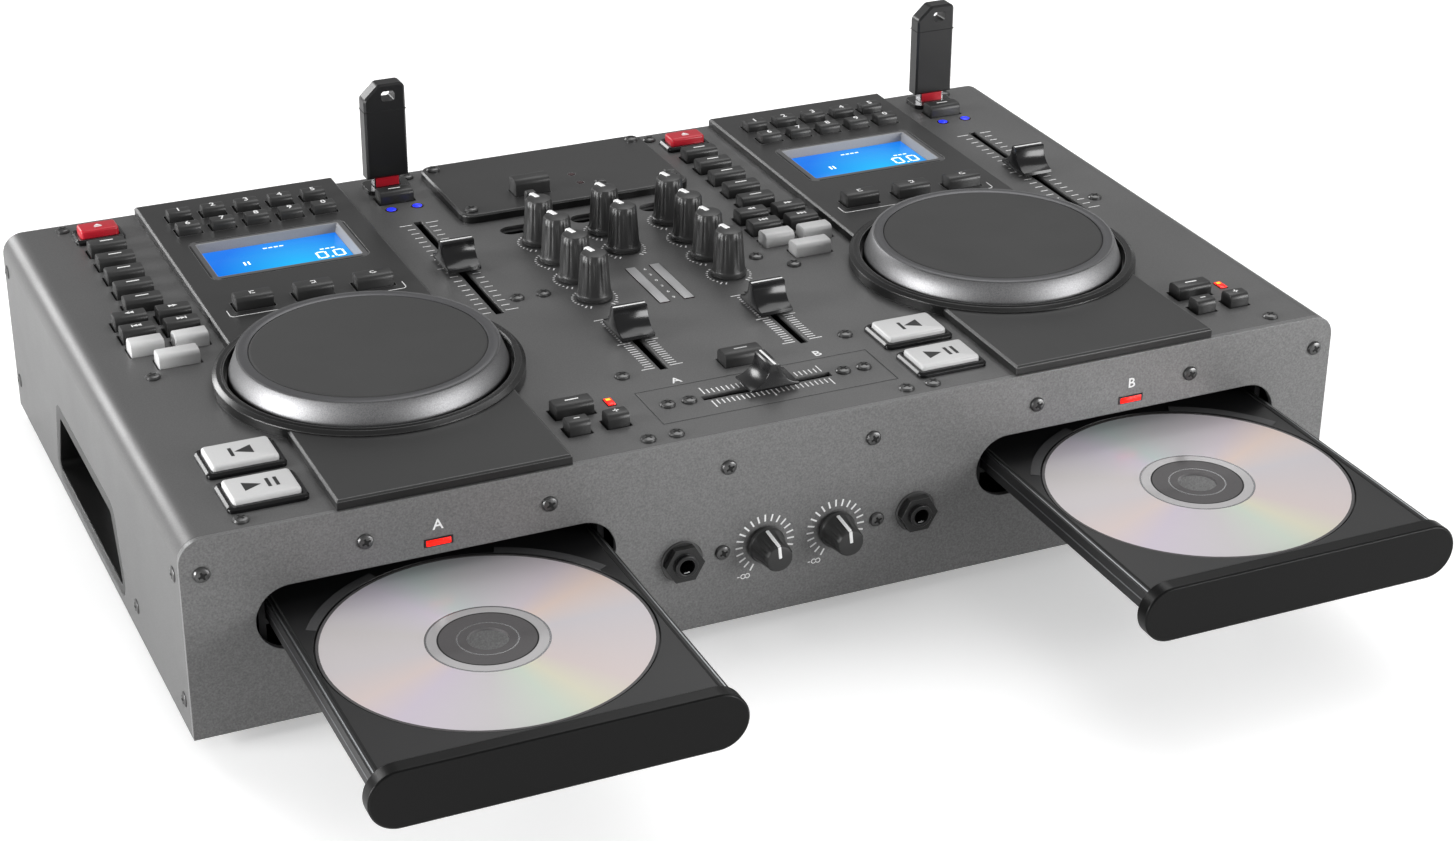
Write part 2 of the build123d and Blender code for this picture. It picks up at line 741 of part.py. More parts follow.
def build_screws():
    """Every visible screw: flat heads on the top, pan heads in front and at the sides."""
    with BuildPart() as screws:
        for places, seat in ((top_screw_places() + cross_screw_places(), TOP),
                             (mix_plate_screw_places(), PLATE_TOP)):
            with BuildSketch(Plane.XY.offset(seat)):
                with Locations(*places):
                    Circle(HEAD_R)
            extrude(amount=HEAD_FLAT_H)
            with BuildSketch(Plane.XY.offset(seat)):
                with Locations(*places):
                    Circle(SCREW_R)
            extrude(amount=TOP - SCREW_LEN - seat)
        with BuildSketch(Plane.XZ.offset(-FRONT)):
            with Locations(*front_screw_places()):
                Circle(HEAD_R)
        extrude(amount=HEAD_PAN_H)
        with BuildSketch(Plane.XZ.offset(-FRONT)):
            with Locations(*front_screw_places()):
                Circle(SCREW_R)
        extrude(amount=-SCREW_LEN)
        for side in (-1, 1):
            with BuildSketch(Plane.YZ.offset(side * BODY_W / 2)):
                with Locations(*[(from_front(y), z) for y, z in SIDE_SCREWS]):
                    Circle(HEAD_R)
            extrude(amount=side * HEAD_FLAT_H)
            with BuildSketch(Plane.YZ.offset(side * BODY_W / 2)):
                with Locations(*[(from_front(y), z) for y, z in SIDE_SCREWS]):
                    Circle(SCREW_R)
            extrude(amount=-side * SCREW_LEN)
    save(screws, "screws")


# ---------------------------------------------------------------- deck plates and displays
def build_deck_plate(side, x):
    """Raised deck plate with the ring round the jog wheel and its key and display windows."""
    length = PLATE_BACK - PLATE_FRONT
    with BuildPart() as deck_plate:
        with BuildSketch(Plane.XY.offset(TOP)):
            with Locations((x, from_front(PLATE_FRONT))):
                Rectangle(PLATE_W, length, align=(Align.CENTER, Align.MIN))
        extrude(amount=PLATE_T)
        chamfer(faces().sort_by(Axis.Z)[-1].edges(), length=PLATE_EDGE)
        with BuildSketch(Plane.XZ.offset(-from_front(JOG_Y))):
            with BuildLine():
                Polyline((x, TOP), (x + RING_R, TOP), (x + RING_R, TOP + RING_EDGE_H),
                         (x + RING_CREST_R, TOP + RING_H), (x, TOP + RING_H), close=True)
            make_face()
        revolve(axis=Axis((x, from_front(JOG_Y), 0), (0, 0, 1)))
        with BuildSketch(Plane.XY.offset(TOP)):
            with Locations((x, from_front(JOG_Y))):
                Circle(WELL_R)
            with Locations((x, from_front(DISPLAY_Y))):
                RectangleRounded(DISPLAY_W, DISPLAY_D, DISPLAY_R)
            for key_x, key_y, width, depth, height in deck_key_places(x):
                if height > KEY_H:
                    with Locations((key_x, from_front(key_y))):
                        Rectangle(width + 2 * KEY_FIT, depth + 2 * KEY_FIT)
        extrude(amount=2 * RING_H, mode=Mode.SUBTRACT)
    save(deck_plate, f"deck_plate_{side}")


def build_displays():
    """Both display modules: a sunk frame with the screen at its bottom."""
    outer_w = DISPLAY_W - 2 * FIT
    outer_d = DISPLAY_D - 2 * FIT
    with BuildPart() as displays:
        for _, x, _ in DECKS:
            with BuildSketch(Plane.XY.offset(PLATE_TOP)):
                with Locations((x, from_front(DISPLAY_Y))):
                    RectangleRounded(outer_w, outer_d, DISPLAY_R - FIT)
            extrude(amount=-DISPLAY_FRAME_H)
            with BuildSketch(Plane.XY.offset(PLATE_TOP)):
                with Locations((x, from_front(DISPLAY_Y))):
                    Rectangle(outer_w - 2 * DISPLAY_RIM, outer_d - 2 * DISPLAY_RIM)
            extrude(amount=-DISPLAY_SINK, mode=Mode.SUBTRACT)
    save(displays, "displays")


def build_mixer_plates():
    """Raised rear plate of the mixer, and the flush plate round the crossfader."""
    y = from_front(MIX_PLATE_Y)
    with BuildPart() as mixer_plate:
        with BuildSketch(Plane.XY.offset(TOP)):
            with Locations((0, y)):
                RectangleRounded(MIX_PLATE_W, MIX_PLATE_D, MIX_PLATE_R)
        extrude(amount=PLATE_T)
        chamfer(faces().sort_by(Axis.Z)[-1].edges(), length=PLATE_EDGE)
        with BuildSketch(Plane.XY.offset(TOP)):
            with Locations((LINK_KEY_X, from_front(LINK_KEY_Y))):
                Rectangle(LONG_KEY_W + 2 * KEY_FIT, KEY_D + 2 * KEY_FIT)
            with Locations((LINK_LED_X, from_front(LINK_LED_Y - LINK_LED_DY)),
                           (LINK_LED_X, from_front(LINK_LED_Y + LINK_LED_DY))):
                Circle(LINK_LED_R + FIT)
            with Locations(*mix_plate_screw_places()):
                Circle(SCREW_HOLE_R)
        extrude(amount=PLATE_T, mode=Mode.SUBTRACT)
    with BuildPart() as crossfader_plate:
        with BuildSketch(Plane.XY.offset(SHEET_UNDER)):
            with Locations((0, from_front(CROSS_Y))):
                Rectangle(CROSS_PLATE_W, CROSS_PLATE_D)
                Rectangle(fader_slot(FADER_TRAVEL), SLOT_W, mode=Mode.SUBTRACT)
            with Locations(*cross_screw_places()):
                Circle(SCREW_HOLE_R, mode=Mode.SUBTRACT)
        extrude(amount=SHEET_T)
    save(mixer_plate, "mixer_plate")
    save(crossfader_plate, "crossfader_plate")


def build_surrounds():
    """Dark bezels round the eject, cue and play buttons."""
    with BuildPart() as button_surrounds:
        for _, x, _ in DECKS:
            for _, key_x, key_y, width, depth, _ in large_button_places(x):
                with BuildSketch(Plane.XY.offset(TOP)):
                    with Locations((key_x, from_front(key_y))):
                        RectangleRounded(width + 2 * SURROUND_RIM, depth + 2 * SURROUND_RIM, SURROUND_R)
                extrude(amount=SURROUND_H)
        chamfer(faces().group_by(Axis.Z)[-1].edges(), length=BUTTON_EDGE)
        with BuildSketch(Plane.XY.offset(TOP)):
            for _, x, _ in DECKS:
                for _, key_x, key_y, width, depth, _ in large_button_places(x):
                    with Locations((key_x, from_front(key_y))):
                        Rectangle(width + 2 * KEY_FIT, depth + 2 * KEY_FIT)
        extrude(amount=SURROUND_H, mode=Mode.SUBTRACT)
    save(button_surrounds, "button_surrounds")


def build_lenses():
    """Level meter bars, lamp lenses and the small light pipes, flush in the panels."""
    with BuildPart() as indicator_lenses:
        with BuildSketch(Plane.XY.offset(TOP - LENS_H)):
            for side in (-1, 1):
                with Locations((side * METER_X, from_front(METER_Y))):
                    Rectangle(METER_W, METER_D)
            for _, x, _ in DECKS:
                with Locations((x + PITCH_X - LENS_DX, from_front(LENS_Y)),
                               (x + PITCH_X + LENS_DX, from_front(LENS_Y))):
                    Circle(LENS_R)
                with Locations((x + BEND_LED_X, from_front(BEND_LED_Y))):
                    Rectangle(BEND_LED_W, BEND_LED_D)
        extrude(amount=LENS_H + FIT)
        with BuildSketch(Plane.XY.offset(TOP - LENS_H)):
            with Locations((LINK_LED_X, from_front(LINK_LED_Y - LINK_LED_DY)),
                           (LINK_LED_X, from_front(LINK_LED_Y + LINK_LED_DY))):
                Circle(LINK_LED_R)
        extrude(amount=LENS_H + PLATE_T)
        with BuildSketch(Plane.XZ.offset(-COVER_FRONT)):
            for side in (-1, 1):
                with Locations((side * TRAY_X, TRAY_LED_Z)):
                    Rectangle(TRAY_LED_W, TRAY_LED_H)
        extrude(amount=PANEL_T + FIT)
    save(indicator_lenses, "indicator_lenses")


# ---------------------------------------------------------------- jog wheels
def build_jog(side, x):
    """Jog wheel with its spindle, the rubber pad on top."""
    y = from_front(JOG_Y)
    seat_depth = PAD_T + PAD_SINK
    hub_foot = TOP + BUSH_FLANGE_T + JOG_HUB_LIFT
    under_top = JOG_TOP - seat_depth - JOG_WALL
    with BuildPart() as jog_wheel:
        with BuildSketch(Plane.XZ.offset(-y)):
            with BuildLine():
                Polyline((x, JOG_TOP - seat_depth), (x + PAD_R + FIT, JOG_TOP - seat_depth),
                         (x + PAD_R + FIT, JOG_TOP), (x + JOG_TOP_R, JOG_TOP),
                         (x + JOG_BASE_R, JOG_BASE), (x + JOG_BASE_R - JOG_WALL, JOG_BASE),
                         (x + JOG_TOP_R - JOG_WALL, under_top), (x + JOG_HUB_R, under_top),
                         (x + JOG_HUB_R, hub_foot), (x + SPINDLE_R, hub_foot),
                         (x + SPINDLE_R, SHEET_UNDER - SPINDLE_TAIL), (x, SHEET_UNDER - SPINDLE_TAIL),
                         close=True)
            make_face()
        revolve(axis=Axis((x, y, 0), (0, 0, 1)))
    with BuildPart() as jog_pad:
        with BuildSketch(Plane.XY.offset(JOG_TOP - seat_depth)):
            with Locations((x, y)):
                Circle(PAD_R)
        extrude(amount=PAD_T)
    save(jog_wheel, f"jog_wheel_{side}")
    save(jog_pad, f"jog_pad_{side}")


# ---------------------------------------------------------------- keys and buttons
def build_keys(name, keys):
    """Keys of one node, each a cap with rounded long edges over a retaining flange."""
    with BuildPart() as key_group:
        for key_x, key_y, width, depth, height in keys:
            y = from_front(key_y)
            with BuildSketch(Plane.XY.offset(KEY_FOOT)):
                with Locations((key_x, y)):
                    Rectangle(width + 2 * KEY_FLANGE, depth + 2 * KEY_FLANGE)
            extrude(amount=KEY_FLANGE_T)
            with BuildSketch(Plane.YZ.offset(key_x - width / 2)) as end_profile:
                with Locations((y, KEY_FOOT)):
                    Rectangle(depth, TOP + height - KEY_FOOT, align=(Align.CENTER, Align.MIN))
                fillet(end_profile.vertices().sort_by(Axis.Y)[-2:], radius=KEY_EDGE_R)
            extrude(amount=width)
    save(key_group, name)


def build_mixer_keys():
    """The wireless link key on the rear plate and the fader start key."""
    build_keys("wireless_link_key",
               [(LINK_KEY_X, LINK_KEY_Y, LONG_KEY_W, KEY_D, PLATE_T + LINK_KEY_H)])
    build_keys("fader_start_key", [(0.0, START_KEY_Y, LONG_KEY_W, KEY_D, KEY_H)])


def build_large_buttons(side, x):
    """Eject, cue and play buttons of one deck, bevelled all round."""
    for name, key_x, key_y, width, depth, height in large_button_places(x):
        with BuildPart() as button:
            with BuildSketch(Plane.XY.offset(KEY_FLANGE_TOP)):
                with Locations((key_x, from_front(key_y))):
                    Rectangle(width, depth)
            extrude(amount=TOP + height - KEY_FLANGE_TOP)
            chamfer(faces().sort_by(Axis.Z)[-1].edges(), length=BUTTON_EDGE)
            with BuildSketch(Plane.XY.offset(KEY_FOOT)):
                with Locations((key_x, from_front(key_y))):
                    Rectangle(width + 2 * KEY_FLANGE, depth + 2 * KEY_FLANGE)
            extrude(amount=KEY_FLANGE_T)
        save(button, f"{name}_{side}")


# ---------------------------------------------------------------- faders
def cap_profile(centre, foot):
    """Saddle outline of a fader cap across its travel, from the foot up."""
    half = CAP_L / 2
    shoulder = CAP_SHOULDER_L / 2
    crest = CAP_TOP_L / 2
    low = foot + CAP_FOOT_H
    return ((centre - half, low), (centre + half, low), (centre + half, low + CAP_EDGE),
            (centre + shoulder, low + CAP_SHOULDER_H), (centre + crest, foot + CAP_H),
            (centre - crest, foot + CAP_H), (centre - shoulder, low + CAP_SHOULDER_H),
            (centre - half, low + CAP_EDGE))


def build_fader(name, x, y):
    """Fader cap, stem and carriage that slide along Y."""
    with BuildPart() as fader:
        with BuildSketch(Plane.YZ.offset(x - CAP_W / 2)):
            with BuildLine():
                Polyline(*cap_profile(y, TOP), close=True)
            make_face()
        extrude(amount=CAP_W)
        with BuildSketch(Plane.XY.offset(SHEET_UNDER - STEM_DEPTH)):
            with Locations((x, y)):
                Rectangle(STEM_T, STEM_L)
        extrude(amount=STEM_DEPTH + SHEET_T + CAP_SHOULDER_H)
    save(fader, name)


def build_crossfader():
    """Crossfader cap and stem that slide along X."""
    y = from_front(CROSS_Y)
    with BuildPart() as crossfader:
        with BuildSketch(Plane.XZ.offset(-(y + CAP_W / 2))):
            with BuildLine():
                Polyline(*cap_profile(0.0, TOP), close=True)
            make_face()
        extrude(amount=CAP_W)
        with BuildSketch(Plane.XY.offset(SHEET_UNDER - STEM_DEPTH)):
            with Locations((0, y)):
                Rectangle(STEM_L, STEM_T)
        extrude(amount=STEM_DEPTH + SHEET_T + CAP_SHOULDER_H)
    save(crossfader, "crossfader")


# ---------------------------------------------------------------- knobs and switches
def knob_outline(length):
    """Half outline of a knob and its shaft: radius out, height up from the panel face."""
    foot = KNOB_LIFT
    crest = KNOB_LIFT + length
    return ((0, -SHAFT_TAIL), (SHAFT_R, -SHAFT_TAIL), (SHAFT_R, foot + KNOB_BORE_H),
            (KNOB_BORE_R, foot + KNOB_BORE_H), (KNOB_BORE_R, foot), (KNOB_BASE_R, foot),
            (KNOB_TOP_R, crest - KNOB_EDGE), (KNOB_TOP_R - KNOB_EDGE, crest), (0, crest))


def build_knobs():
    """Mixer knobs, turning on upright shafts."""
    for name, x, y in knob_places():
        with BuildPart() as knob:
            with BuildSketch(Plane.XZ.offset(-from_front(y))):
                with BuildLine():
                    Polyline(*[(x + r, TOP + h) for r, h in knob_outline(KNOB_H)], close=True)
                make_face()
            revolve(axis=Axis((x, from_front(y), 0), (0, 0, 1)))
        save(knob, name)


def build_front_knobs():
    """Microphone and headphone level knobs, turning on shafts through the front panel."""
    for name, x in (("mic_level_knob", -FRONT_KNOB_X), ("cue_level_knob", FRONT_KNOB_X)):
        with BuildPart() as knob:
            with BuildSketch(Plane.XY.offset(FRONT_ROW_Z)):
                with BuildLine():
                    Polyline(*[(x + r, FRONT - h) for r, h in knob_outline(FRONT_KNOB_LEN)], close=True)
                make_face()
            revolve(axis=Axis((x, 0, FRONT_ROW_Z), (0, 1, 0)))
        save(knob, name)


def build_levers():
    """Lever switches, each at the right end of its slot, which slide left and right."""
    y = from_front(LEVER_Y)
    for name, slot_x in lever_places():
        x = slot_x + LEVER_TRAVEL / 2
        with BuildPart() as lever:
            with BuildSketch(Plane.XZ.offset(-(y + LEVER_T / 2))):
                with BuildLine():
                    Polyline((x - LEVER_FOOT_W / 2, SHEET_UNDER), (x + LEVER_FOOT_W / 2, SHEET_UNDER),
                             (x + LEVER_W / 2, TOP + LEVER_FOOT_H), (x + LEVER_W / 2, TOP + LEVER_H),
                             (x - LEVER_W / 2, TOP + LEVER_H), (x - LEVER_W / 2, TOP + LEVER_FOOT_H),
                             close=True)
                make_face()
                with Locations((x, SHEET_UNDER)):
                    Rectangle(LEVER_W, LEVER_DEPTH, align=(Align.CENTER, Align.MAX))
            extrude(amount=LEVER_T)
        save(lever, name)


def build_control_bodies():
    """Fader tracks, rotary controls, switch bodies and jog bushes under the panels."""
    cavity_w = STEM_T + 2 * SLIDE_FIT + HOUSING_WALL
    with BuildPart() as control_bodies:
        tracks = [(x + PITCH_X, from_front(PITCH_Y), PITCH_TRAVEL, False) for _, x, _ in DECKS]
        tracks += [(side * FADER_X, from_front(FADER_Y), FADER_TRAVEL, False) for side in (-1, 1)]
        tracks.append((0.0, from_front(CROSS_Y), FADER_TRAVEL, True))
        for x, y, travel, across in tracks:
            outer = fader_slot(travel) + 2 * HOUSING_END
            inner = fader_slot(travel)
            size = (outer, HOUSING_W) if across else (HOUSING_W, outer)
            well = (inner, cavity_w) if across else (cavity_w, inner)
            with BuildSketch(Plane.XY.offset(MIX_BOARD_TOP)):
                with Locations((x, y)):
                    Rectangle(*size)
            extrude(amount=MIX_BOARD_DROP)
            with BuildSketch(Plane.XY.offset(SHEET_UNDER)):
                with Locations((x, y)):
                    Rectangle(*well)
            extrude(amount=-(STEM_DEPTH + SLIDE_FIT), mode=Mode.SUBTRACT)
        with BuildSketch(Plane.XY.offset(MIX_BOARD_TOP)):
            with Locations(*[(x, from_front(y)) for _, x, y in knob_places()]):
                Rectangle(POT_W, POT_D)
        extrude(amount=MIX_BOARD_DROP)
        with BuildSketch(Plane.XY.offset(SHEET_UNDER)):
            with Locations(*[(x, from_front(y)) for _, x, y in knob_places()]):
                Circle(POT_BUSH_R)
        extrude(amount=SHEET_T + POT_BUSH_H)
        with BuildSketch(Plane.XY.offset(TOP + POT_BUSH_H)):
            with Locations(*[(x, from_front(y)) for _, x, y in knob_places()]):
                Circle(SHAFT_R + SHAFT_FIT)
        extrude(amount=-(POT_BUSH_H + SHAFT_TAIL + SLIDE_FIT), mode=Mode.SUBTRACT)
        for _, x in lever_places():
            with BuildSketch(Plane.XY.offset(MIX_BOARD_TOP)):
                with Locations((x, from_front(LEVER_Y))):
                    Rectangle(LEVER_BODY_W, LEVER_BODY_D)
            extrude(amount=MIX_BOARD_DROP)
            with BuildSketch(Plane.XY.offset(SHEET_UNDER)):
                with Locations((x, from_front(LEVER_Y))):
                    Rectangle(LEVER_TRAVEL + LEVER_FOOT_W + 2 * SLIDE_FIT, LEVER_T + 2 * SLIDE_FIT)
            extrude(amount=-(LEVER_DEPTH + SLIDE_FIT), mode=Mode.SUBTRACT)
        with BuildSketch(Plane.XZ.offset(-COVER_FRONT)):
            for side in (-1, 1):
                with Locations((side * FRONT_KNOB_X, FRONT_ROW_Z)):
                    Rectangle(POT_W, POT_D)
        extrude(amount=-FRONT_POT_DEPTH)
        with BuildSketch(Plane.XZ.offset(-COVER_FRONT)):
            for side in (-1, 1):
                with Locations((side * FRONT_KNOB_X, FRONT_ROW_Z)):
                    Circle(POT_BUSH_R)
        extrude(amount=PANEL_T + POT_BUSH_H)
        with BuildSketch(Plane.XZ.offset(-(FRONT - POT_BUSH_H))):
            for side in (-1, 1):
                with Locations((side * FRONT_KNOB_X, FRONT_ROW_Z)):
                    Circle(SHAFT_R + SHAFT_FIT)
        extrude(amount=-(POT_BUSH_H + SHAFT_TAIL + SLIDE_FIT), mode=Mode.SUBTRACT)
        with BuildSketch(Plane.XY.offset(TOP)):
            for _, x, _ in DECKS:
                with Locations((x, from_front(JOG_Y))):
                    Circle(BUSH_FLANGE_R)
        extrude(amount=BUSH_FLANGE_T)
        with BuildSketch(Plane.XY.offset(TOP)):
            for _, x, _ in DECKS:
                with Locations((x, from_front(JOG_Y))):
                    Circle(BUSH_R)
        extrude(amount=-BUSH_LEN)
        with BuildSketch(Plane.XY.offset(TOP + BUSH_FLANGE_T)):
            for _, x, _ in DECKS:
                with Locations((x, from_front(JOG_Y))):
                    Circle(SPINDLE_R + SHAFT_FIT)
        extrude(amount=-(BUSH_FLANGE_T + BUSH_LEN), mode=Mode.SUBTRACT)
    save(control_bodies, "control_bodies")


# ---------------------------------------------------------------- sockets
def build_sockets():
    """Front jacks, memory stick ports, mains inlet, switch frame and phono sockets."""
    jack_front = FRONT - JACK_NUT_T - JACK_NOSE
    jack_back = COVER_FRONT + JACK_BODY_LEN
    with BuildPart() as sockets:
        for side in (-1, 1):
            with BuildSketch(Plane.XZ.offset(-COVER_FRONT)):
                with Locations((side * JACK_X, FRONT_ROW_Z)):
                    Circle(JACK_SLEEVE_R)
            extrude(amount=COVER_FRONT - jack_front)
            with BuildSketch(Plane.XZ.offset(-FRONT)):
                with Locations((side * JACK_X, FRONT_ROW_Z)):
                    RegularPolygon(JACK_NUT_AF / 2, 6, major_radius=False)
            extrude(amount=JACK_NUT_T)
            with BuildSketch(Plane.XZ.offset(-COVER_FRONT)):
                with Locations((side * JACK_X, FRONT_ROW_Z)):
                    Rectangle(JACK_BODY, JACK_BODY)
            extrude(amount=-JACK_BODY_LEN)
            with BuildSketch(Plane.XZ.offset(-jack_front)):
                with Locations((side * JACK_X, FRONT_ROW_Z)):
                    Circle(JACK_BORE_R)
            extrude(amount=-(jack_back - jack_front - HOUSING_WALL), mode=Mode.SUBTRACT)
        for _, x, _ in DECKS:
            with BuildSketch(Plane.XY.offset(TOP)):
                with Locations((x + PITCH_X, from_front(USB_Y))):
                    RectangleRounded(USB_FLANGE_W, USB_FLANGE_D, USB_FLANGE_R)
            extrude(amount=USB_FLANGE_H)
            with BuildSketch(Plane.XY.offset(TOP)):
                with Locations((x + PITCH_X, from_front(USB_Y))):
                    Rectangle(USB_BODY_W, USB_BODY_D)
            extrude(amount=-(USB_DEPTH + USB_FLOOR - USB_FLANGE_H))
            with BuildSketch(Plane.XY.offset(TOP + USB_FLANGE_H)):
                with Locations((x + PITCH_X, from_front(USB_Y))):
                    Rectangle(USB_PLUG_W + 2 * SLIDE_FIT, USB_PLUG_T + 2 * SLIDE_FIT)
            extrude(amount=-USB_DEPTH, mode=Mode.SUBTRACT)
        with BuildSketch(Plane.XZ.offset(-BACK)):
            with Locations((INLET_X, INLET_Z)):
                Rectangle(INLET_W + 2 * INLET_FLANGE, INLET_H + 2 * INLET_FLANGE)
        extrude(amount=-INLET_FLANGE_T)
        with BuildSketch(Plane.XZ.offset(-BACK)):
            with Locations((INLET_X, INLET_Z)):
                Rectangle(INLET_W, INLET_H)
        extrude(amount=INLET_DEPTH)
        with BuildSketch(Plane.XZ.offset(-(BACK + INLET_FLANGE_T))):
            with Locations((INLET_X, INLET_Z)):
                Rectangle(INLET_CAVITY_W, INLET_CAVITY_H)
        extrude(amount=INLET_CAVITY, mode=Mode.SUBTRACT)
        with BuildSketch(Plane.XZ.offset(-(BACK + INLET_FLANGE_T - INLET_CAVITY))):
            with Locations((INLET_X - PIN_PITCH, INLET_Z), (INLET_X, INLET_Z + PIN_H),
                           (INLET_X + PIN_PITCH, INLET_Z)):
                Rectangle(PIN_W, PIN_H)
        extrude(amount=-PIN_LEN)
        with BuildSketch(Plane.XZ.offset(-BACK)):
            with Locations((SWITCH_X, INLET_Z)):
                Rectangle(SWITCH_W + 2 * SWITCH_RIM, SWITCH_H + 2 * SWITCH_RIM)
        extrude(amount=-SWITCH_RIM)
        with BuildSketch(Plane.XZ.offset(-BACK)):
            with Locations((SWITCH_X, INLET_Z)):
                Rectangle(SWITCH_W, SWITCH_H)
        extrude(amount=SWITCH_DEPTH)
        with BuildSketch(Plane.XZ.offset(-(BACK + SWITCH_RIM))):
            with Locations((SWITCH_X, INLET_Z)):
                Rectangle(SWITCH_W - 2 * SWITCH_RIM, SWITCH_H - 2 * SWITCH_RIM)
        extrude(amount=SWITCH_DEPTH, mode=Mode.SUBTRACT)
        pin_span = SWITCH_W - SWITCH_RIM
        with BuildSketch(Plane.YZ.offset(SWITCH_X - pin_span / 2)):
            with Locations((BACK - SWITCH_RIM, INLET_Z)):
                Circle(ROCKER_PIN_R + SHAFT_FIT)
        extrude(amount=pin_span, mode=Mode.SUBTRACT)
        span = PHONO_PITCH_X * (PHONO_COLUMNS - 1)
        with BuildSketch(Plane.XZ.offset(-(BACK - SHEET_T))):
            with Locations((PHONO_X + span / 2, INLET_Z)):
                Rectangle(span + 2 * PHONO_MARGIN, PHONO_PITCH_Z + 2 * PHONO_MARGIN)
        extrude(amount=PHONO_PLATE_T)
    with BuildPart() as phono_sleeves:
        with BuildSketch(Plane.XZ.offset(-(BACK - SHEET_T))):
            with Locations(*phono_places()):
                Circle(PHONO_R)
                Circle(PHONO_CORE_R, mode=Mode.SUBTRACT)
        extrude(amount=-PHONO_LEN)
    save_group((sockets, phono_sleeves), "sockets")


def build_power_switch():
    """Mains rocker in its frame, rocking on a cross pin."""
    pivot_y = BACK - SWITCH_RIM
    width = SWITCH_W - 2 * SWITCH_RIM - 2 * SLIDE_FIT
    half = SWITCH_H / 2 - SWITCH_RIM - 3 * SLIDE_FIT
    proud = BACK + SWITCH_RIM + ROCKER_PROUD
    with BuildPart() as power_switch:
        with BuildSketch(Plane.YZ.offset(SWITCH_X - width / 2)):
            with BuildLine():
                Polyline((pivot_y - ROCKER_PROUD, INLET_Z - half / 2),
                         (pivot_y + SWITCH_RIM, INLET_Z - half), (proud, INLET_Z - half),
                         (BACK + SWITCH_RIM, INLET_Z), (proud, INLET_Z + half),
                         (pivot_y + SWITCH_RIM, INLET_Z + half),
                         (pivot_y - ROCKER_PROUD, INLET_Z + half / 2), close=True)
            make_face()
        extrude(amount=width)
        pin_span = SWITCH_W - SWITCH_RIM - 2 * FIT
        with BuildSketch(Plane.YZ.offset(SWITCH_X - pin_span / 2)):
            with Locations((pivot_y, INLET_Z)):
                Circle(ROCKER_PIN_R)
        extrude(amount=pin_span)
    save(power_switch, "power_switch")


# ---------------------------------------------------------------- trays, discs, sticks, drives
def build_tray(side, x):
    """Tray that carries the disc, open towards the back where the pickup reaches in."""
    length = TRAY_LEN
    with BuildPart() as tray:
        with BuildSketch(Plane.XY.offset(TRAY_DECK_UNDER)):
            with Locations((x, FASCIA_REAR)):
                Rectangle(2 * TRAY_HALF_W, length, align=(Align.CENTER, Align.MIN))
        extrude(amount=TRAY_DECK_T)
        with BuildSketch(Plane.XY.offset(TRAY_RAIL_UNDER)):
            for end in (-1, 1):
                with Locations((x + end * (TRAY_HALF_W - TRAY_RAIL_W / 2), FASCIA_REAR)):
                    Rectangle(TRAY_RAIL_W, length, align=(Align.CENTER, Align.MIN))
        extrude(amount=TRAY_RAIL_H)
        with BuildSketch(Plane.XY.offset(TRAY_TOP_Z)):
            with Locations((x, DISC_Y)):
                Circle(DISC_R + DISC_SEAT_FIT)
        extrude(amount=-DISC_SEAT, mode=Mode.SUBTRACT)
        with BuildSketch(Plane.XY.offset(TRAY_TOP_Z - DISC_SEAT)):
            with Locations((x, DISC_Y)):
                Circle(SMALL_SEAT_R)
        extrude(amount=-SMALL_SEAT, mode=Mode.SUBTRACT)
        with BuildSketch(Plane.XY.offset(TRAY_TOP_Z)):
            with Locations((x, DISC_Y)):
                Circle(TRAY_WINDOW_R)
                Rectangle(TRAY_WINDOW_W, TRAY_WINDOW_L, align=(Align.CENTER, Align.MIN))
        extrude(amount=-TRAY_DECK_T, mode=Mode.SUBTRACT)
    with BuildPart() as tray_front:
        with BuildSketch(Plane.XZ.offset(-FASCIA_REAR)):
            with Locations((x, FASCIA_Z)):
                SlotOverall(FASCIA_W, FASCIA_H)
        extrude(amount=FASCIA_T)
        chamfer(faces().sort_by(Axis.Y)[0].edges(), length=FASCIA_EDGE)
    save(tray, f"tray_{side}")
    save(tray_front, f"tray_front_{side}")


def build_disc(side, x):
    """Plain disc lying data side up in the tray."""
    with BuildPart() as disc:
        with BuildSketch(Plane.XY.offset(DISC_Z)):
            with Locations((x, DISC_Y)):
                Circle(DISC_R)
                Circle(DISC_HOLE_R, mode=Mode.SUBTRACT)
        extrude(amount=DISC_T)
    save(disc, f"disc_{side}")


def build_memory_stick(side, x):
    """Plain memory stick: plug, upright body with a cut corner and an eye."""
    centre = x + PITCH_X
    foot = TOP + STICK_LIFT
    crest = foot + STICK_H
    left = centre - STICK_W / 2
    right = centre + STICK_W / 2
    plug_foot = TOP + USB_FLANGE_H - USB_PLUG_IN
    with BuildPart() as memory_stick:
        with BuildSketch(Plane.XZ.offset(-(from_front(USB_Y) + STICK_T / 2))):
            with BuildLine():
                Polyline((left, foot), (right, foot), (right, crest),
                         (left + STICK_CORNER_W, crest), (left, crest - STICK_CORNER_H), close=True)
            body = make_face()
            fillet(body.vertices().sort_by(Axis.Y)[2:], radius=STICK_CORNER_R)
        extrude(amount=STICK_T)
        chamfer(faces().filter_by(Axis.Y).edges(), length=STICK_EDGE)
        with BuildSketch(Plane.XZ.offset(-(from_front(USB_Y) + STICK_T / 2))):
            with Locations((centre + STICK_EYE_X, crest - STICK_EYE_DROP)):
                RectangleRounded(STICK_EYE_W, STICK_EYE_H, STICK_EYE_R)
        extrude(amount=STICK_T, mode=Mode.SUBTRACT)
        with BuildSketch(Plane.XY.offset(plug_foot)):
            with Locations((centre, from_front(USB_Y))):
                Rectangle(USB_PLUG_W, USB_PLUG_T)
        extrude(amount=foot - plug_foot)
    save(memory_stick, f"memory_stick_{side}")


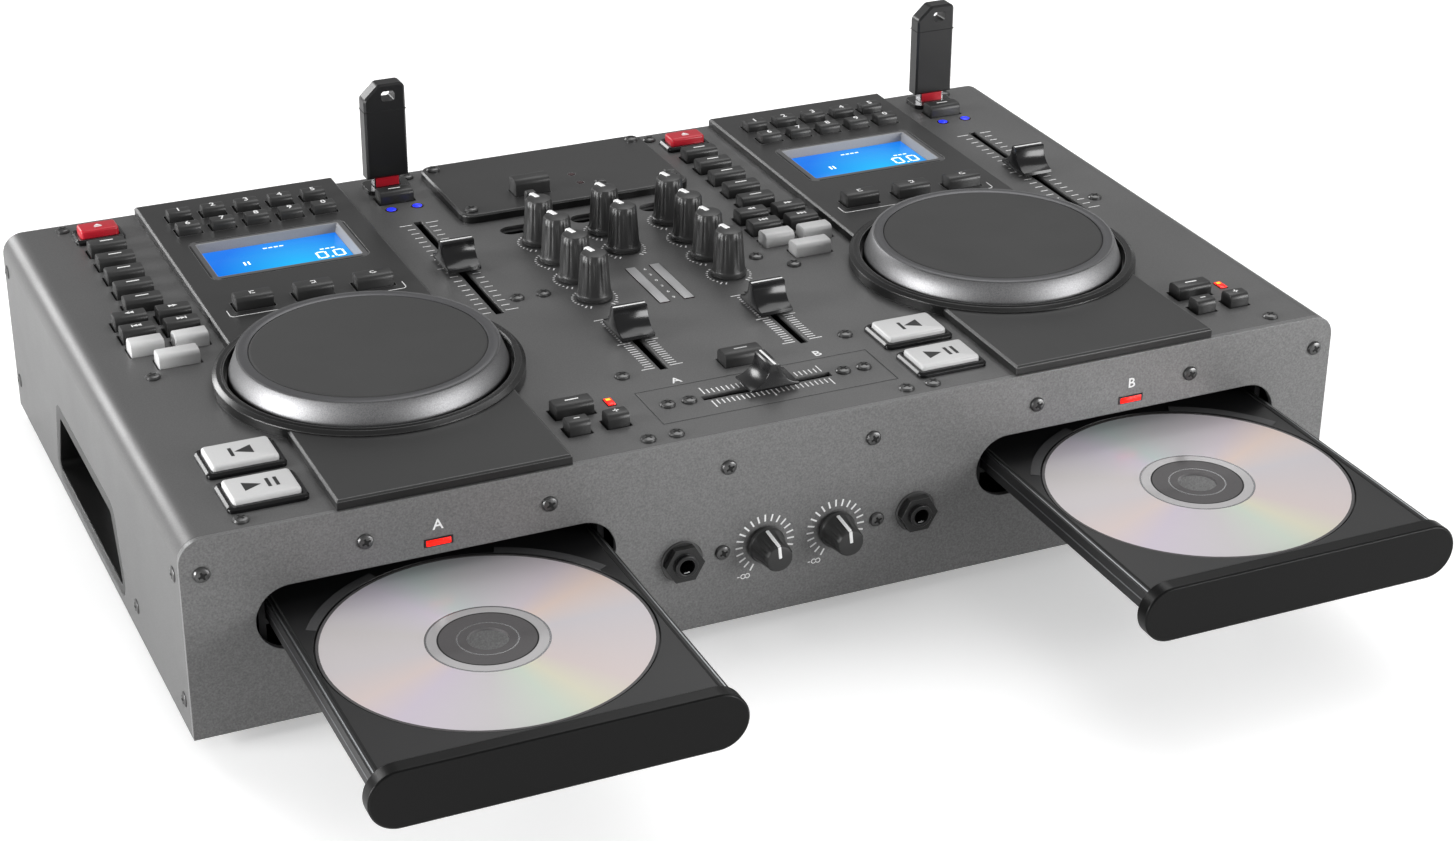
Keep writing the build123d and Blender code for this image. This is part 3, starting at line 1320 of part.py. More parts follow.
def build_drives():
    """Both drive frames: floor, guides for the tray, clamp bridge, motor hub and pickup."""
    front = from_front(DRIVE_FRONT)
    length = DRIVE_BACK - DRIVE_FRONT
    outer_half = TRAY_GUIDE_HALF_W + DRIVE_WALL
    ledge_top = TRAY_RAIL_UNDER - SLIDE_FIT
    floor_top = DRIVE_FLOOR_Z + DRIVE_FLOOR_T
    with BuildPart() as disc_drives:
        for _, _, x in DECKS:
            with BuildSketch(Plane.XY.offset(DRIVE_FLOOR_Z)):
                with Locations((x, front)):
                    Rectangle(2 * outer_half, length, align=(Align.CENTER, Align.MIN))
            extrude(amount=DRIVE_FLOOR_T)
            with BuildSketch(Plane.XY.offset(DRIVE_FLOOR_Z)):
                for end in (-1, 1):
                    with Locations((x + end * (TRAY_GUIDE_HALF_W + DRIVE_WALL / 2), front)):
                        Rectangle(DRIVE_WALL, length, align=(Align.CENTER, Align.MIN))
            extrude(amount=DRIVE_TOP_Z - DRIVE_FLOOR_Z)
            with BuildSketch(Plane.XY.offset(ledge_top)):
                for end in (-1, 1):
                    with Locations((x + end * (TRAY_GUIDE_HALF_W - LEDGE_W / 2), front)):
                        Rectangle(LEDGE_W, length, align=(Align.CENTER, Align.MIN))
            extrude(amount=-LEDGE_T)
            with BuildSketch(Plane.XY.offset(DRIVE_TOP_Z)):
                with Locations((x, CLAMP_Y)):
                    Rectangle(2 * outer_half, BRIDGE_W)
            extrude(amount=BRIDGE_T)
            with BuildSketch(Plane.XY.offset(floor_top)):
                with Locations((x, CLAMP_Y)):
                    Circle(MOTOR_R)
            extrude(amount=TRAY_DECK_UNDER - HUB_GAP - floor_top)
            with BuildSketch(Plane.XY.offset(floor_top)):
                with Locations((x, CLAMP_Y + SLED_GAP)):
                    Rectangle(SLED_W, SLED_L, align=(Align.CENTER, Align.MIN))
            extrude(amount=SLED_T)
    save(disc_drives, "disc_drives")


# ---------------------------------------------------------------- boards
def key_board_places():
    """Boards under the key groups: centre X and Y, width, depth, post centres."""
    boards = []
    for _, x, _ in DECKS:
        left = x + COLUMN_X
        for y, depth in ((LEFT_BOARD_Y, LEFT_BOARD_D), (LOW_BOARD_Y, LOW_BOARD_D)):
            boards.append((left, y, LEFT_BOARD_W, depth, post_places(left, y, LEFT_BOARD_W, depth)))
        for y, depth in ((NUMBER_Y, NUMBER_BOARD_D), (LOOP_Y, LOOP_BOARD_D)):
            boards.append((x, y, DECK_BOARD_W, depth, post_places(x, y, DECK_BOARD_W, depth)))
        for right, y in ((x + SOURCE_X, SOURCE_BOARD_Y), (x + NUDGE_X, BEND_BOARD_Y)):
            boards.append((right, y, RIGHT_BOARD_W, RIGHT_BOARD_D,
                           post_places(right, y, RIGHT_BOARD_W, RIGHT_BOARD_D)))
    boards.append((0.0, LINK_BOARD_Y, LINK_BOARD_W, LINK_BOARD_D,
                   post_places(0.0, LINK_BOARD_Y, LINK_BOARD_W, LINK_BOARD_D)))
    return boards


def post_places(x, y, width, depth):
    """Posts at the four corners of a board."""
    half_w = width / 2 - 1.2 * POST_R
    half_d = depth / 2 - 1.2 * POST_R
    return [(x + sx * half_w, y + sy * half_d) for sx in (-1, 1) for sy in (-1, 1)]


def build_boards():
    """Circuit boards with the posts that hang them under the top, and the power supply."""
    board_front = from_front(MIX_BOARD_FRONT)
    with BuildPart() as circuit_boards:
        with BuildSketch(Plane.XY.offset(MIX_BOARD_TOP)):
            with Locations((0, board_front)):
                Rectangle(MIX_BOARD_W, MIX_BOARD_BACK - MIX_BOARD_FRONT,
                          align=(Align.CENTER, Align.MIN))
        extrude(amount=-BOARD_T)
        for x, y, width, depth, posts in key_board_places():
            with BuildSketch(Plane.XY.offset(KEY_BOARD_TOP)):
                with Locations((x, from_front(y))):
                    Rectangle(width, depth)
            extrude(amount=-BOARD_T)
            with BuildSketch(Plane.XY.offset(KEY_BOARD_TOP)):
                with Locations(*[(px, from_front(py)) for px, py in posts]):
                    Circle(POST_R)
            extrude(amount=KEY_BOARD_DROP)
        with BuildSketch(Plane.XZ.offset(-(COVER_FRONT + FRONT_POT_DEPTH))):
            with Locations((0, FRONT_ROW_Z)):
                Rectangle(FRONT_BOARD_W, FRONT_BOARD_H)
            for side in (-1, 1):
                with Locations((side * JACK_X, FRONT_ROW_Z)):
                    Rectangle(JACK_BODY + 2 * FIT, JACK_BODY + 2 * FIT, mode=Mode.SUBTRACT)
        extrude(amount=-BOARD_T)
        supply_z = FOOT_H + SHEET_T + SUPPLY_POST_H
        with BuildSketch(Plane.XY.offset(supply_z)):
            with Locations((0, from_front(SUPPLY_Y))):
                Rectangle(SUPPLY_W, SUPPLY_D)
        extrude(amount=BOARD_T)
        with BuildSketch(Plane.XY.offset(supply_z + BOARD_T)):
            with Locations((-SUPPLY_W / 4, from_front(SUPPLY_Y))):
                Rectangle(TRANSFORMER_W, TRANSFORMER_D)
        extrude(amount=TRANSFORMER_H)
        with BuildSketch(Plane.XY.offset(supply_z + BOARD_T)):
            with Locations((SUPPLY_W / 4 - CAPACITOR_PITCH, from_front(SUPPLY_Y)),
                           (SUPPLY_W / 4, from_front(SUPPLY_Y))):
                Circle(CAPACITOR_R)
        extrude(amount=CAPACITOR_H)
    save(circuit_boards, "circuit_boards")


# ---------------------------------------------------------------- build
def main():
    """Build every piece of the player and write it to parts/."""
    os.makedirs("parts", exist_ok=True)
    build_top_cover()
    build_front_panel()
    build_base_pan()
    build_grips()
    build_feet()
    build_screws()
    build_displays()
    build_mixer_plates()
    build_surrounds()
    build_lenses()
    build_mixer_keys()
    build_crossfader()
    build_knobs()
    build_front_knobs()
    build_levers()
    build_control_bodies()
    build_sockets()
    build_power_switch()
    build_drives()
    build_boards()
    for side, x, tray_x in DECKS:
        build_deck_plate(side, x)
        build_jog(side, x)
        build_keys(f"deck_keys_{side}", deck_key_places(x))
        build_large_buttons(side, x)
        build_fader(f"pitch_fader_{side}", x + PITCH_X, from_front(PITCH_Y))
        build_tray(side, tray_x)
        build_disc(side, tray_x)
        build_memory_stick(side, x)
    for side, x in (("a", -FADER_X), ("b", FADER_X)):
        build_fader(f"channel_fader_{side}", x, from_front(FADER_Y + FADER_REST))


main()
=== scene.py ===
"""Looks of a twin disc player with a built-in mixer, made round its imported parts.

Sizes are in millimetres while a piece is being made and turn to metres when it is
finished. X runs to the right, Y into the unit and Z up, with the floor at zero.
"""

import json
import logging
import math
from dataclasses import dataclass
from enum import Enum
from typing import Optional, Sequence

import bmesh
import bpy
from mathutils import Matrix, Vector

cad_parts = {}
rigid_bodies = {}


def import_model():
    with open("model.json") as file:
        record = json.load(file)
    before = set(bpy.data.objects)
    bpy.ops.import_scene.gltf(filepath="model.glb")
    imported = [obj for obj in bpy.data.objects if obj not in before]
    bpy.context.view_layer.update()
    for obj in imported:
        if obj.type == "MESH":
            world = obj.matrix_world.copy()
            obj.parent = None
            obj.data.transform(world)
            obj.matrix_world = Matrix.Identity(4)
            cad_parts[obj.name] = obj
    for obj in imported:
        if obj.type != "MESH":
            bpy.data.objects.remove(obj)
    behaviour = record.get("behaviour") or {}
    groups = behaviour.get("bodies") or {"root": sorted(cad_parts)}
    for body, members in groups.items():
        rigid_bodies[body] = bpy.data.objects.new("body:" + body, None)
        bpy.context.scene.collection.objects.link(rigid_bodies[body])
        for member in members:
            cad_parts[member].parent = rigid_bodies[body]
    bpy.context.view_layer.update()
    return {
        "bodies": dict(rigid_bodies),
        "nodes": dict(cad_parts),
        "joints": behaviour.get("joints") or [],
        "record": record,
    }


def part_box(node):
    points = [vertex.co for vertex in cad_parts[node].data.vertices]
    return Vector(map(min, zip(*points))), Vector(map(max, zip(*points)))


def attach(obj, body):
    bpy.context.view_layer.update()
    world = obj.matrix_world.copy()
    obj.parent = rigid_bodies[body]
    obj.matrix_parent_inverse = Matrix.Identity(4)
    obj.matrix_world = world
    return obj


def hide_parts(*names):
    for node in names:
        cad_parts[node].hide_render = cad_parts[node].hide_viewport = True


LOG = logging.getLogger("disc_player")

MM = 0.001
PRINT_RISE = 0.05
PRINT_SINK = 0.03
PRINT_T = PRINT_RISE + PRINT_SINK
PRINT_MID = (PRINT_RISE - PRINT_SINK) / 2.0
SMOOTH_ANGLE = math.radians(32.0)
PHOTO_WIDTH = 1456
PHOTO_FOCAL = 2850.1
SENSOR_WIDTH = 36.0

# Distances that count as nothing: for merging, and for telling a level edge.
MERGE_MM = 1e-4
LEVEL_MM = 1e-6
# Faces whose upward share lies between these two count as slopes.
SLOPE_LEAST = 0.05
SLOPE_MOST = 0.95

# Noise mostly lies between these two levels, so colours are stretched between them.
NOISE_LOW = 0.3
NOISE_HIGH = 0.7
# Size of the cloudy patches in which roughness varies, and by what share.
CLOUD_MM = 60.0
CLOUD_SHARE = 0.1
# How far the rounded normal agrees with the flat one where the painted edge highlight begins and where it is
# full.
EDGE_BEGINS = 0.985
EDGE_FULL = 0.86

Point = tuple[float, float]
Point3 = tuple[float, float, float]


class Side(Enum):
    """The two decks: left is a, right is b."""

    A = "a"
    B = "b"


class Run(Enum):
    """The way a fader travels."""

    ALONG = "along"
    ACROSS = "across"


class Sign(Enum):
    """Marks printed on keys and buttons."""

    NONE = "none"
    PLAY_PAUSE = "play_pause"
    BACK_TO_START = "back_to_start"
    EJECT = "eject"
    REWIND = "rewind"
    FORWARD = "forward"
    PREVIOUS = "previous"
    NEXT = "next"
    LOOP_START = "loop_start"
    LOOP_END = "loop_end"
    LOOP_AGAIN = "loop_again"
    DASH = "dash"
    PLUS = "plus"
    MINUS = "minus"


# --------------------------------------------------------------------------- materials


def linear(code: str) -> tuple[float, float, float, float]:
    """Turn an sRGB hex colour into the linear colour that shaders take.

    Args:
        code: colour such as "#5e5e60".

    Returns:
        Red, green, blue and an alpha of one.
    """
    levels = [int(code[i : i + 2], 16) / 255.0 for i in (1, 3, 5)]
    turned = [v / 12.92 if v <= 0.04045 else ((v + 0.055) / 1.055) ** 2.4 for v in levels]
    return (turned[0], turned[1], turned[2], 1.0)


def add_node(
    tree: bpy.types.NodeTree,
    kind: str,
    inputs: Optional[dict] = None,
    links: Optional[dict] = None,
    **settings: object,
) -> bpy.types.Node:
    """Add one node with its settings, input values and links.

    Args:
        tree: the material's or world's node tree.
        kind: the node's type name.
        inputs: input name or index to value.
        links: input name or index to the output socket that feeds it.
        **settings: properties of the node itself.

    Returns:
        The new node.
    """
    node = tree.nodes.new(kind)
    for key, value in settings.items():
        setattr(node, key, value)
    for key, value in (inputs or {}).items():
        node.inputs[key].default_value = value
    for key, socket in (links or {}).items():
        tree.links.new(socket, node.inputs[key])
    return node


def grain_scale(size_mm: float) -> float:
    """Turn a feature size into a texture scale for Object coordinates.

    Args:
        size_mm: how large a feature is, in millimetres.

    Returns:
        The scale that gives features of about this size.
    """
    return 1.0 / (size_mm * MM)


@dataclass(frozen=True)
class Surface:
    """A named surface, whose material is made once and then shared."""

    name: str

    def material(self) -> bpy.types.Material:
        """Make the material, or find it if another piece has it already.

        Returns:
            The material with this surface's name.
        """
        found = bpy.data.materials.get(self.name)
        if found:
            return found
        material = bpy.data.materials.new(self.name)
        material.use_nodes = True
        material.node_tree.nodes.clear()
        self.build(material.node_tree)
        return material

    def build(self, tree: bpy.types.NodeTree) -> None:
        """Lay out the nodes, which each kind of surface does in its own way.

        Args:
            tree: the material's empty node tree.
        """
        raise NotImplementedError


@dataclass(frozen=True)
class Finish(Surface):
    """A moulded or coated surface with a fine grain and softly broken edges."""

    colour: str
    roughness: float = 0.5
    metallic: float = 0.0
    grain_mm: float = 0.8
    grain_depth_mm: float = 0.02
    mottle: float = 0.08
    edge_mm: float = 0.0
    coat: float = 0.0
    ior: float = 1.5
    # Share of the colour added as a painted highlight along the edges.
    painted_edge_highlight: float = 0.0
    # Share of the colour left on upright faces: painted shade.
    painted_side_shade: float = 1.0

    def build(self, tree: bpy.types.NodeTree) -> None:
        """Lay out grain, colour variation, roughness variation and bump.

        Args:
            tree: the material's empty node tree.
        """
        place = add_node(tree, "ShaderNodeTexCoord")
        grain = add_node(
            tree, "ShaderNodeTexNoise",
            {"Scale": grain_scale(self.grain_mm), "Detail": 2.0, "Roughness": 0.6},
            {"Vector": place.outputs["Object"]},
        )
        cloud = add_node(
            tree, "ShaderNodeTexNoise",
            {"Scale": grain_scale(CLOUD_MM), "Detail": 3.0},
            {"Vector": place.outputs["Object"]},
        )
        tone = add_node(
            tree, "ShaderNodeMapRange",
            {"From Min": NOISE_LOW, "From Max": NOISE_HIGH,
             "To Min": 1.0 - self.mottle, "To Max": 1.0 + self.mottle},
            {"Value": grain.outputs["Fac"]},
        )
        level = tone.outputs["Result"]
        # Painted highlight along the edges, where one is asked for.
        if self.painted_edge_highlight > 0.0:
            level = self.paint_edge_highlights(tree, level)
        # Painted shade on the upright faces, where it is asked for.
        if self.painted_side_shade < 1.0:
            level = self.paint_side_shade(tree, level)
        colour = add_node(
            tree, "ShaderNodeVectorMath", {0: linear(self.colour)[:3]}, {"Scale": level}, operation="SCALE",
        )
        rough = add_node(
            tree, "ShaderNodeMapRange",
            {"From Min": NOISE_LOW, "From Max": NOISE_HIGH,
             "To Min": self.roughness * (1.0 - CLOUD_SHARE), "To Max": self.roughness * (1.0 + CLOUD_SHARE)},
            {"Value": cloud.outputs["Fac"]},
        )
        bump = add_node(
            tree, "ShaderNodeBump", {"Strength": 0.6, "Distance": self.grain_depth_mm * MM},
            {"Height": grain.outputs["Fac"]},
        )
        if self.edge_mm > 0.0:
            edge = add_node(tree, "ShaderNodeBevel", {"Radius": self.edge_mm * MM}, samples=4)
            tree.links.new(edge.outputs["Normal"], bump.inputs["Normal"])
        shader = add_node(
            tree, "ShaderNodeBsdfPrincipled",
            {"Metallic": self.metallic, "IOR": self.ior, "Coat Weight": self.coat, "Coat Roughness": 0.12},
            {"Base Color": colour.outputs["Vector"], "Roughness": rough.outputs["Result"],
             "Normal": bump.outputs["Normal"]},
        )
        add_node(tree, "ShaderNodeOutputMaterial", None, {"Surface": shader.outputs["BSDF"]})

    def paint_edge_highlights(self, tree: bpy.types.NodeTree, level: bpy.types.NodeSocket) -> bpy.types.NodeSocket:
        """Lighten the colour where a rounded normal leaves the flat one: a painted highlight along the edges.

        Args:
            tree: the material's node tree.
            level: how bright the colour is so far.

        Returns:
            The brightness with its painted edge highlights.
        """
        bare = add_node(tree, "ShaderNodeNewGeometry")
        rounded = add_node(tree, "ShaderNodeBevel", {"Radius": self.edge_mm * MM}, samples=6)
        agree = add_node(
            tree, "ShaderNodeVectorMath", None,
            {0: bare.outputs["True Normal"], 1: rounded.outputs["Normal"]}, operation="DOT_PRODUCT",
        )
        gain = add_node(
            tree, "ShaderNodeMapRange",
            {"From Min": EDGE_BEGINS, "From Max": EDGE_FULL, "To Min": 1.0, "To Max": 1.0 + self.painted_edge_highlight},
            {"Value": agree.outputs["Value"]},
        )
        lit = add_node(
            tree, "ShaderNodeMath", None, {0: level, 1: gain.outputs["Result"]}, operation="MULTIPLY"
        )
        return lit.outputs["Value"]

    def paint_side_shade(self, tree: bpy.types.NodeTree, level: bpy.types.NodeSocket) -> bpy.types.NodeSocket:
        """Darken upright faces: painted shade on the sides.

        Args:
            tree: the material's node tree.
            level: how bright the colour is so far.

        Returns:
            The brightness with its painted side shade.
        """
        bare = add_node(tree, "ShaderNodeNewGeometry")
        parts = add_node(tree, "ShaderNodeSeparateXYZ", None, {"Vector": bare.outputs["True Normal"]})
        up = add_node(tree, "ShaderNodeMath", None, {0: parts.outputs["Z"]}, operation="ABSOLUTE")
        gain = add_node(
            tree, "ShaderNodeMapRange", {"From Min": 0.2, "From Max": 0.8, "To Min": self.painted_side_shade},
            {"Value": up.outputs["Value"]},
        )
        dark = add_node(
            tree, "ShaderNodeMath", None, {0: level, 1: gain.outputs["Result"]}, operation="MULTIPLY"
        )
        return dark.outputs["Value"]


@dataclass(frozen=True)
class Glow(Surface):
    """A lit lens: coloured plastic that shines by itself under a slightly rippled skin."""

    colour: str
    strength: float = 2.0
    ripple_mm: float = 3.0

    def build(self, tree: bpy.types.NodeTree) -> None:
        """Lay out the light and the ripple.

        Args:
            tree: the material's empty node tree.
        """
        place = add_node(tree, "ShaderNodeTexCoord")
        ripple = add_node(
            tree, "ShaderNodeTexNoise", {"Scale": grain_scale(self.ripple_mm)},
            {"Vector": place.outputs["Object"]},
        )
        rough = add_node(
            tree, "ShaderNodeMapRange", {"To Min": 0.15, "To Max": 0.35}, {"Value": ripple.outputs["Fac"]}
        )
        shader = add_node(
            tree, "ShaderNodeBsdfPrincipled",
            {"Base Color": linear(self.colour), "Emission Color": linear(self.colour),
             "Emission Strength": self.strength},
            {"Roughness": rough.outputs["Result"]},
        )
        add_node(tree, "ShaderNodeOutputMaterial", None, {"Surface": shader.outputs["BSDF"]})


@dataclass(frozen=True)
class BacklitScreen(Surface):
    """A backlit display: blue light, paler near one edge, behind smooth glass."""

    deep: str
    pale: str
    centre: Point3
    reach_mm: float
    strength: float = 1.0

    def build(self, tree: bpy.types.NodeTree) -> None:
        """Lay out the light, which fades from pale to deep away from its centre.

        Args:
            tree: the material's empty node tree.
        """
        place = add_node(tree, "ShaderNodeTexCoord")
        centred = add_node(
            tree, "ShaderNodeMapping",
            {"Location": [-c * MM for c in self.centre]},
            {"Vector": place.outputs["Object"]},
        )
        spread = add_node(
            tree, "ShaderNodeVectorMath", None, {0: centred.outputs["Vector"]}, operation="LENGTH"
        )
        share = add_node(
            tree, "ShaderNodeMapRange", {"From Max": self.reach_mm * MM}, {"Value": spread.outputs["Value"]}
        )
        ramp = add_node(tree, "ShaderNodeValToRGB", None, {"Fac": share.outputs["Result"]})
        ramp.color_ramp.elements[0].color = linear(self.pale)
        ramp.color_ramp.elements[1].color = linear(self.deep)
        shader = add_node(
            tree, "ShaderNodeBsdfPrincipled",
            {"Roughness": 0.2, "Specular IOR Level": 0.12, "Emission Strength": self.strength,
             "Base Color": linear("#06121f")},
            {"Emission Color": ramp.outputs["Color"]},
        )
        add_node(tree, "ShaderNodeOutputMaterial", None, {"Surface": shader.outputs["BSDF"]})


# Painted rainbow glints of a pressed disc: share of the turn and colour.
PAINTED_RAINBOW_GLINTS = (
    (0.00, "#cfc9cb"), (0.06, "#d8c9c6"), (0.11, "#cdc3d0"), (0.20, "#cac6c8"), (0.27, "#c9d3c6"),
    (0.31, "#d7d4bf"), (0.36, "#d3c6c4"), (0.50, "#cbc6ca"), (0.57, "#dcc8bf"), (0.62, "#cfc5cc"),
    (0.72, "#c8c8cb"), (0.78, "#c4d0cf"), (0.83, "#d2ccd8"), (0.92, "#cdc8c8"), (1.00, "#cfc9cb"),
)


@dataclass(frozen=True)
class DiscFilm(Surface):
    """The data side of a disc: silver film under clear plastic, with faint painted rainbow glints."""

    centre: Point3

    def build(self, tree: bpy.types.NodeTree) -> None:
        """Lay out the painted rainbow glints as a colour ramp round the disc's axis.

        Args:
            tree: the material's empty node tree.
        """
        place = add_node(tree, "ShaderNodeTexCoord")
        centred = add_node(
            tree, "ShaderNodeMapping",
            {"Location": [-c * MM for c in self.centre]},
            {"Vector": place.outputs["Object"]},
        )
        turn = add_node(
            tree, "ShaderNodeTexGradient", None, {"Vector": centred.outputs["Vector"]},
            gradient_type="RADIAL",
        )
        # Rainbow glints painted into the base colour by the angle round the axis.
        rays = add_node(tree, "ShaderNodeValToRGB", None, {"Fac": turn.outputs["Fac"]})
        ramp = rays.color_ramp
        ramp.elements[0].color = linear(PAINTED_RAINBOW_GLINTS[0][1])
        ramp.elements[1].color = linear(PAINTED_RAINBOW_GLINTS[-1][1])
        for at, code in PAINTED_RAINBOW_GLINTS[1:-1]:
            ramp.elements.new(at).color = linear(code)
        shader = add_node(
            tree, "ShaderNodeBsdfPrincipled",
            {"Metallic": 0.12, "Roughness": 0.34, "Coat Weight": 0.3, "Coat Roughness": 0.05},
            {"Base Color": rays.outputs["Color"]},
        )
        add_node(tree, "ShaderNodeOutputMaterial", None, {"Surface": shader.outputs["BSDF"]})


@dataclass(frozen=True)
class SpunLacquer(Surface):
    """Silver lacquer over a turned flank, whose fine rings spread highlights into fans."""

    colour: str
    roughness: float
    anisotropy: float
    flake_mm: float = 0.4
    flake_share: float = 0.2

    def build(self, tree: bpy.types.NodeTree) -> None:
        """Lay out the metal flake and the rings.

        Args:
            tree: the material's empty node tree.
        """
        place = add_node(tree, "ShaderNodeTexCoord")
        flake = add_node(
            tree, "ShaderNodeTexNoise", {"Scale": grain_scale(self.flake_mm), "Detail": 1.0},
            {"Vector": place.outputs["Object"]},
        )
        tone = add_node(
            tree, "ShaderNodeMapRange",
            {"From Min": NOISE_LOW, "From Max": NOISE_HIGH,
             "To Min": 1.0 - self.flake_share, "To Max": 1.0 + self.flake_share},
            {"Value": flake.outputs["Fac"]},
        )
        colour = add_node(
            tree, "ShaderNodeVectorMath", {0: linear(self.colour)[:3]}, {"Scale": tone.outputs["Result"]},
            operation="SCALE",
        )
        rings = add_node(tree, "ShaderNodeTangent", direction_type="RADIAL", axis="Z")
        shader = add_node(
            tree, "ShaderNodeBsdfPrincipled",
            {"Metallic": 1.0, "Roughness": self.roughness, "Anisotropic": self.anisotropy},
            {"Base Color": colour.outputs["Vector"], "Tangent": rings.outputs["Tangent"]},
        )
        add_node(tree, "ShaderNodeOutputMaterial", None, {"Surface": shader.outputs["BSDF"]})


# Powder coat on folded steel: dark grey with metal flake, so it lights up at a low angle.
COVER_COAT = Finish("powder_coated_steel_cover", "#616161", 0.42, 0.35, 0.55, 0.03, 0.14, 0.8)
# The front is coated coarser, so light and dark specks show on it.
PANEL_COAT = Finish("powder_coated_steel_front", "#757575", 0.42, 0.40, 0.75, 0.05, 0.22, 0.6)
# Satin enamel on the raised plates: near black and smoother, with a painted highlight along the edges and
# painted shade on the upright sides.
PLATE_COAT = Finish(
    "satin_enamel_plate", "#2c2c2c", 0.36, 0.10, 0.6, 0.012, 0.05, 0.7, painted_edge_highlight=9.0, painted_side_shade=0.2
)
# The same enamel on the mixer plate: a little lighter, with a weaker painted highlight along the edges and
# painted shade on the upright sides.
MIXER_COAT = Finish(
    "satin_enamel_mixer_plate", "#383838", 0.34, 0.25, 0.6, 0.012, 0.05, 0.7, painted_edge_highlight=5.0, painted_side_shade=0.2
)
# The raised ring round each jog wheel is glossier, so it looks blacker from the front, and its edges carry a
# painted highlight.
COLLAR_COAT = Finish("gloss_enamel_collar", "#151515", 0.24, 0.0, 0.6, 0.008, 0.05, 0.5, painted_edge_highlight=8.0)
# Enamel on the base: dull, and hardly seen.
BASE_COAT = Finish("satin_enamel_base", "#242425", 0.5, 0.0, 1.0, 0.02, 0.08, 0.5)
# Injection-moulded ABS, spark-eroded grain: near black with a soft sheen.
CASE_ABS = Finish("moulded_black_abs", "#121213", 0.38, 0.0, 0.6, 0.02, 0.10, 0.4)
# The grips' rims carry a painted highlight.
GRIP_ABS = Finish("moulded_grip_abs", "#121212", 0.34, 0.0, 0.6, 0.01, 0.08, 0.7, painted_edge_highlight=10.0)
# The fascia is smoother and deeper black than the tray behind it, with a fine painted highlight along its
# edge.
FASCIA_ABS = Finish(
    "smooth_black_fascia_abs", "#070707", 0.30, 0.0, 0.6, 0.006, 0.06, 0.5, ior=1.30, painted_edge_highlight=9.0
)
# The tray's raised rims are a lighter grey than the tray.
WELL_ABS = Finish("grey_tray_edge_abs", "#3f3f40", 0.42, 0.0, 0.6, 0.02, 0.10)
# Moulded ABS of the knobs and levers: dark grey, with broad soft highlights.
KNOB_ABS = Finish("moulded_dark_grey_abs", "#2b2b2b", 0.40, 0.0, 0.5, 0.012, 0.08)
# Mirror-moulded ABS of the fader caps: black with long clear highlights.
CAP_ABS = Finish("smooth_black_abs", "#141415", 0.20, 0.0, 0.8, 0.004, 0.05)
# Polished ABS round the large buttons: black with crisp reflections.
SURROUND_ABS = Finish("polished_black_abs", "#0d0d0e", 0.14, 0.0, 1.0, 0.004, 0.05, 0.3)
# Silicone key tops: dull black that scatters light at its rounded edges.
KEY_SILICONE = Finish("silicone_rubber_black", "#272727", 0.40, 0.0, 0.5, 0.008, 0.08)
# Moulded ABS of the pale buttons and keys: even light grey with a satin skin.
PALE_ABS = Finish("moulded_pale_grey_abs", "#c9c9c9", 0.34, 0.0, 0.8, 0.008, 0.02)
# Moulded ABS of the eject buttons and other red pieces: clear red with a satin skin.
RED_ABS = Finish("moulded_red_abs", "#b81b2b", 0.34, 0.0, 0.8, 0.008, 0.05)
# Moulded rubber of the feet: matt, with a coarse grain.
FOOT_RUBBER = Finish("moulded_black_rubber", "#161616", 0.75, 0.0, 0.9, 0.05, 0.15)
# Pressed rubber on the jog wheel: flat matt grey.
PAD_RUBBER = Finish("pressed_rubber_pad", "#2f2f2f", 0.66, 0.0, 0.6, 0.02, 0.06)
# Lacquer over ABS on the jog wheel's top ring: even grey with a weak metal sheen.
JOG_RING_LACQUER = Finish("grey_lacquered_abs", "#565658", 0.34, 0.5, 0.5, 0.006, 0.05)
# Lacquer over the jog wheel's turned flank: two bright fans on dull silver.
JOG_LACQUER = SpunLacquer("silver_lacquered_flank", "#6f6f70", 0.42, 0.65)
# Moulded ABS of the display frames: mid grey.
BEZEL_ABS = Finish("moulded_mid_grey_abs", "#555556", 0.34, 0.1, 0.6, 0.008, 0.04)
# The frame's sloped walls are paler, since the screen lights them.
SLOPE_ABS = Finish("moulded_pale_slope_abs", "#8c8c8c", 0.45, 0.0, 0.6, 0.008, 0.04)
# Milky acrylic over the level meter: pale grey, unlit.
METER_ABS = Finish("milky_meter_plastic", "#a8a8a9", 0.4, 0.0, 0.8, 0.006, 0.03)
# Black oxide on screws and washers: dark metal with small bright glints.
SCREW_STEEL = Finish("black_oxide_steel", "#606060", 0.30, 0.85, 0.5, 0.008, 0.10)
# Recesses and seams that light hardly reaches: flat black.
RECESS_BLACK = Finish("shadowed_recess", "#050505", 0.8, 0.0, 0.8, 0.01, 0.10)
# Nickel plate on hubs, sockets and plugs: bright and clear.
BRIGHT_STEEL = Finish("nickel_plated_steel", "#c4c4c6", 0.2, 1.0, 0.6, 0.004, 0.03)
# Zinc plate on the tray's rails: greyer and softer than nickel.
FRAME_STEEL = Finish("zinc_plated_steel", "#8f9193", 0.36, 1.0, 1.5, 0.01, 0.08)
# Drive frames: near-black metal, which paints the shade inside the unit, so nothing shines behind the tray.
DRIVE_STEEL = Finish("drive_steel_painted_shade", "#1d1d1e", 0.5, 0.6, 1.5, 0.01, 0.08)
# Hexagon nuts of black nylon with glossy facets, whose edges carry a painted highlight.
NUT_NYLON = Finish("black_nylon_nut", "#1d1d1d", 0.26, 0.0, 0.6, 0.006, 0.06, 0.35, painted_edge_highlight=5.0)
# Solder mask on the circuit boards: dark green with a slight gloss.
BOARD_MASK = Finish("green_solder_mask", "#1d4a2c", 0.35, 0.0, 1.2, 0.01, 0.10)
# Moulded ABS of the memory sticks: black with a satin skin.
STICK_ABS = Finish("moulded_stick_abs", "#161617", 0.30, 0.0, 0.6, 0.01, 0.06)
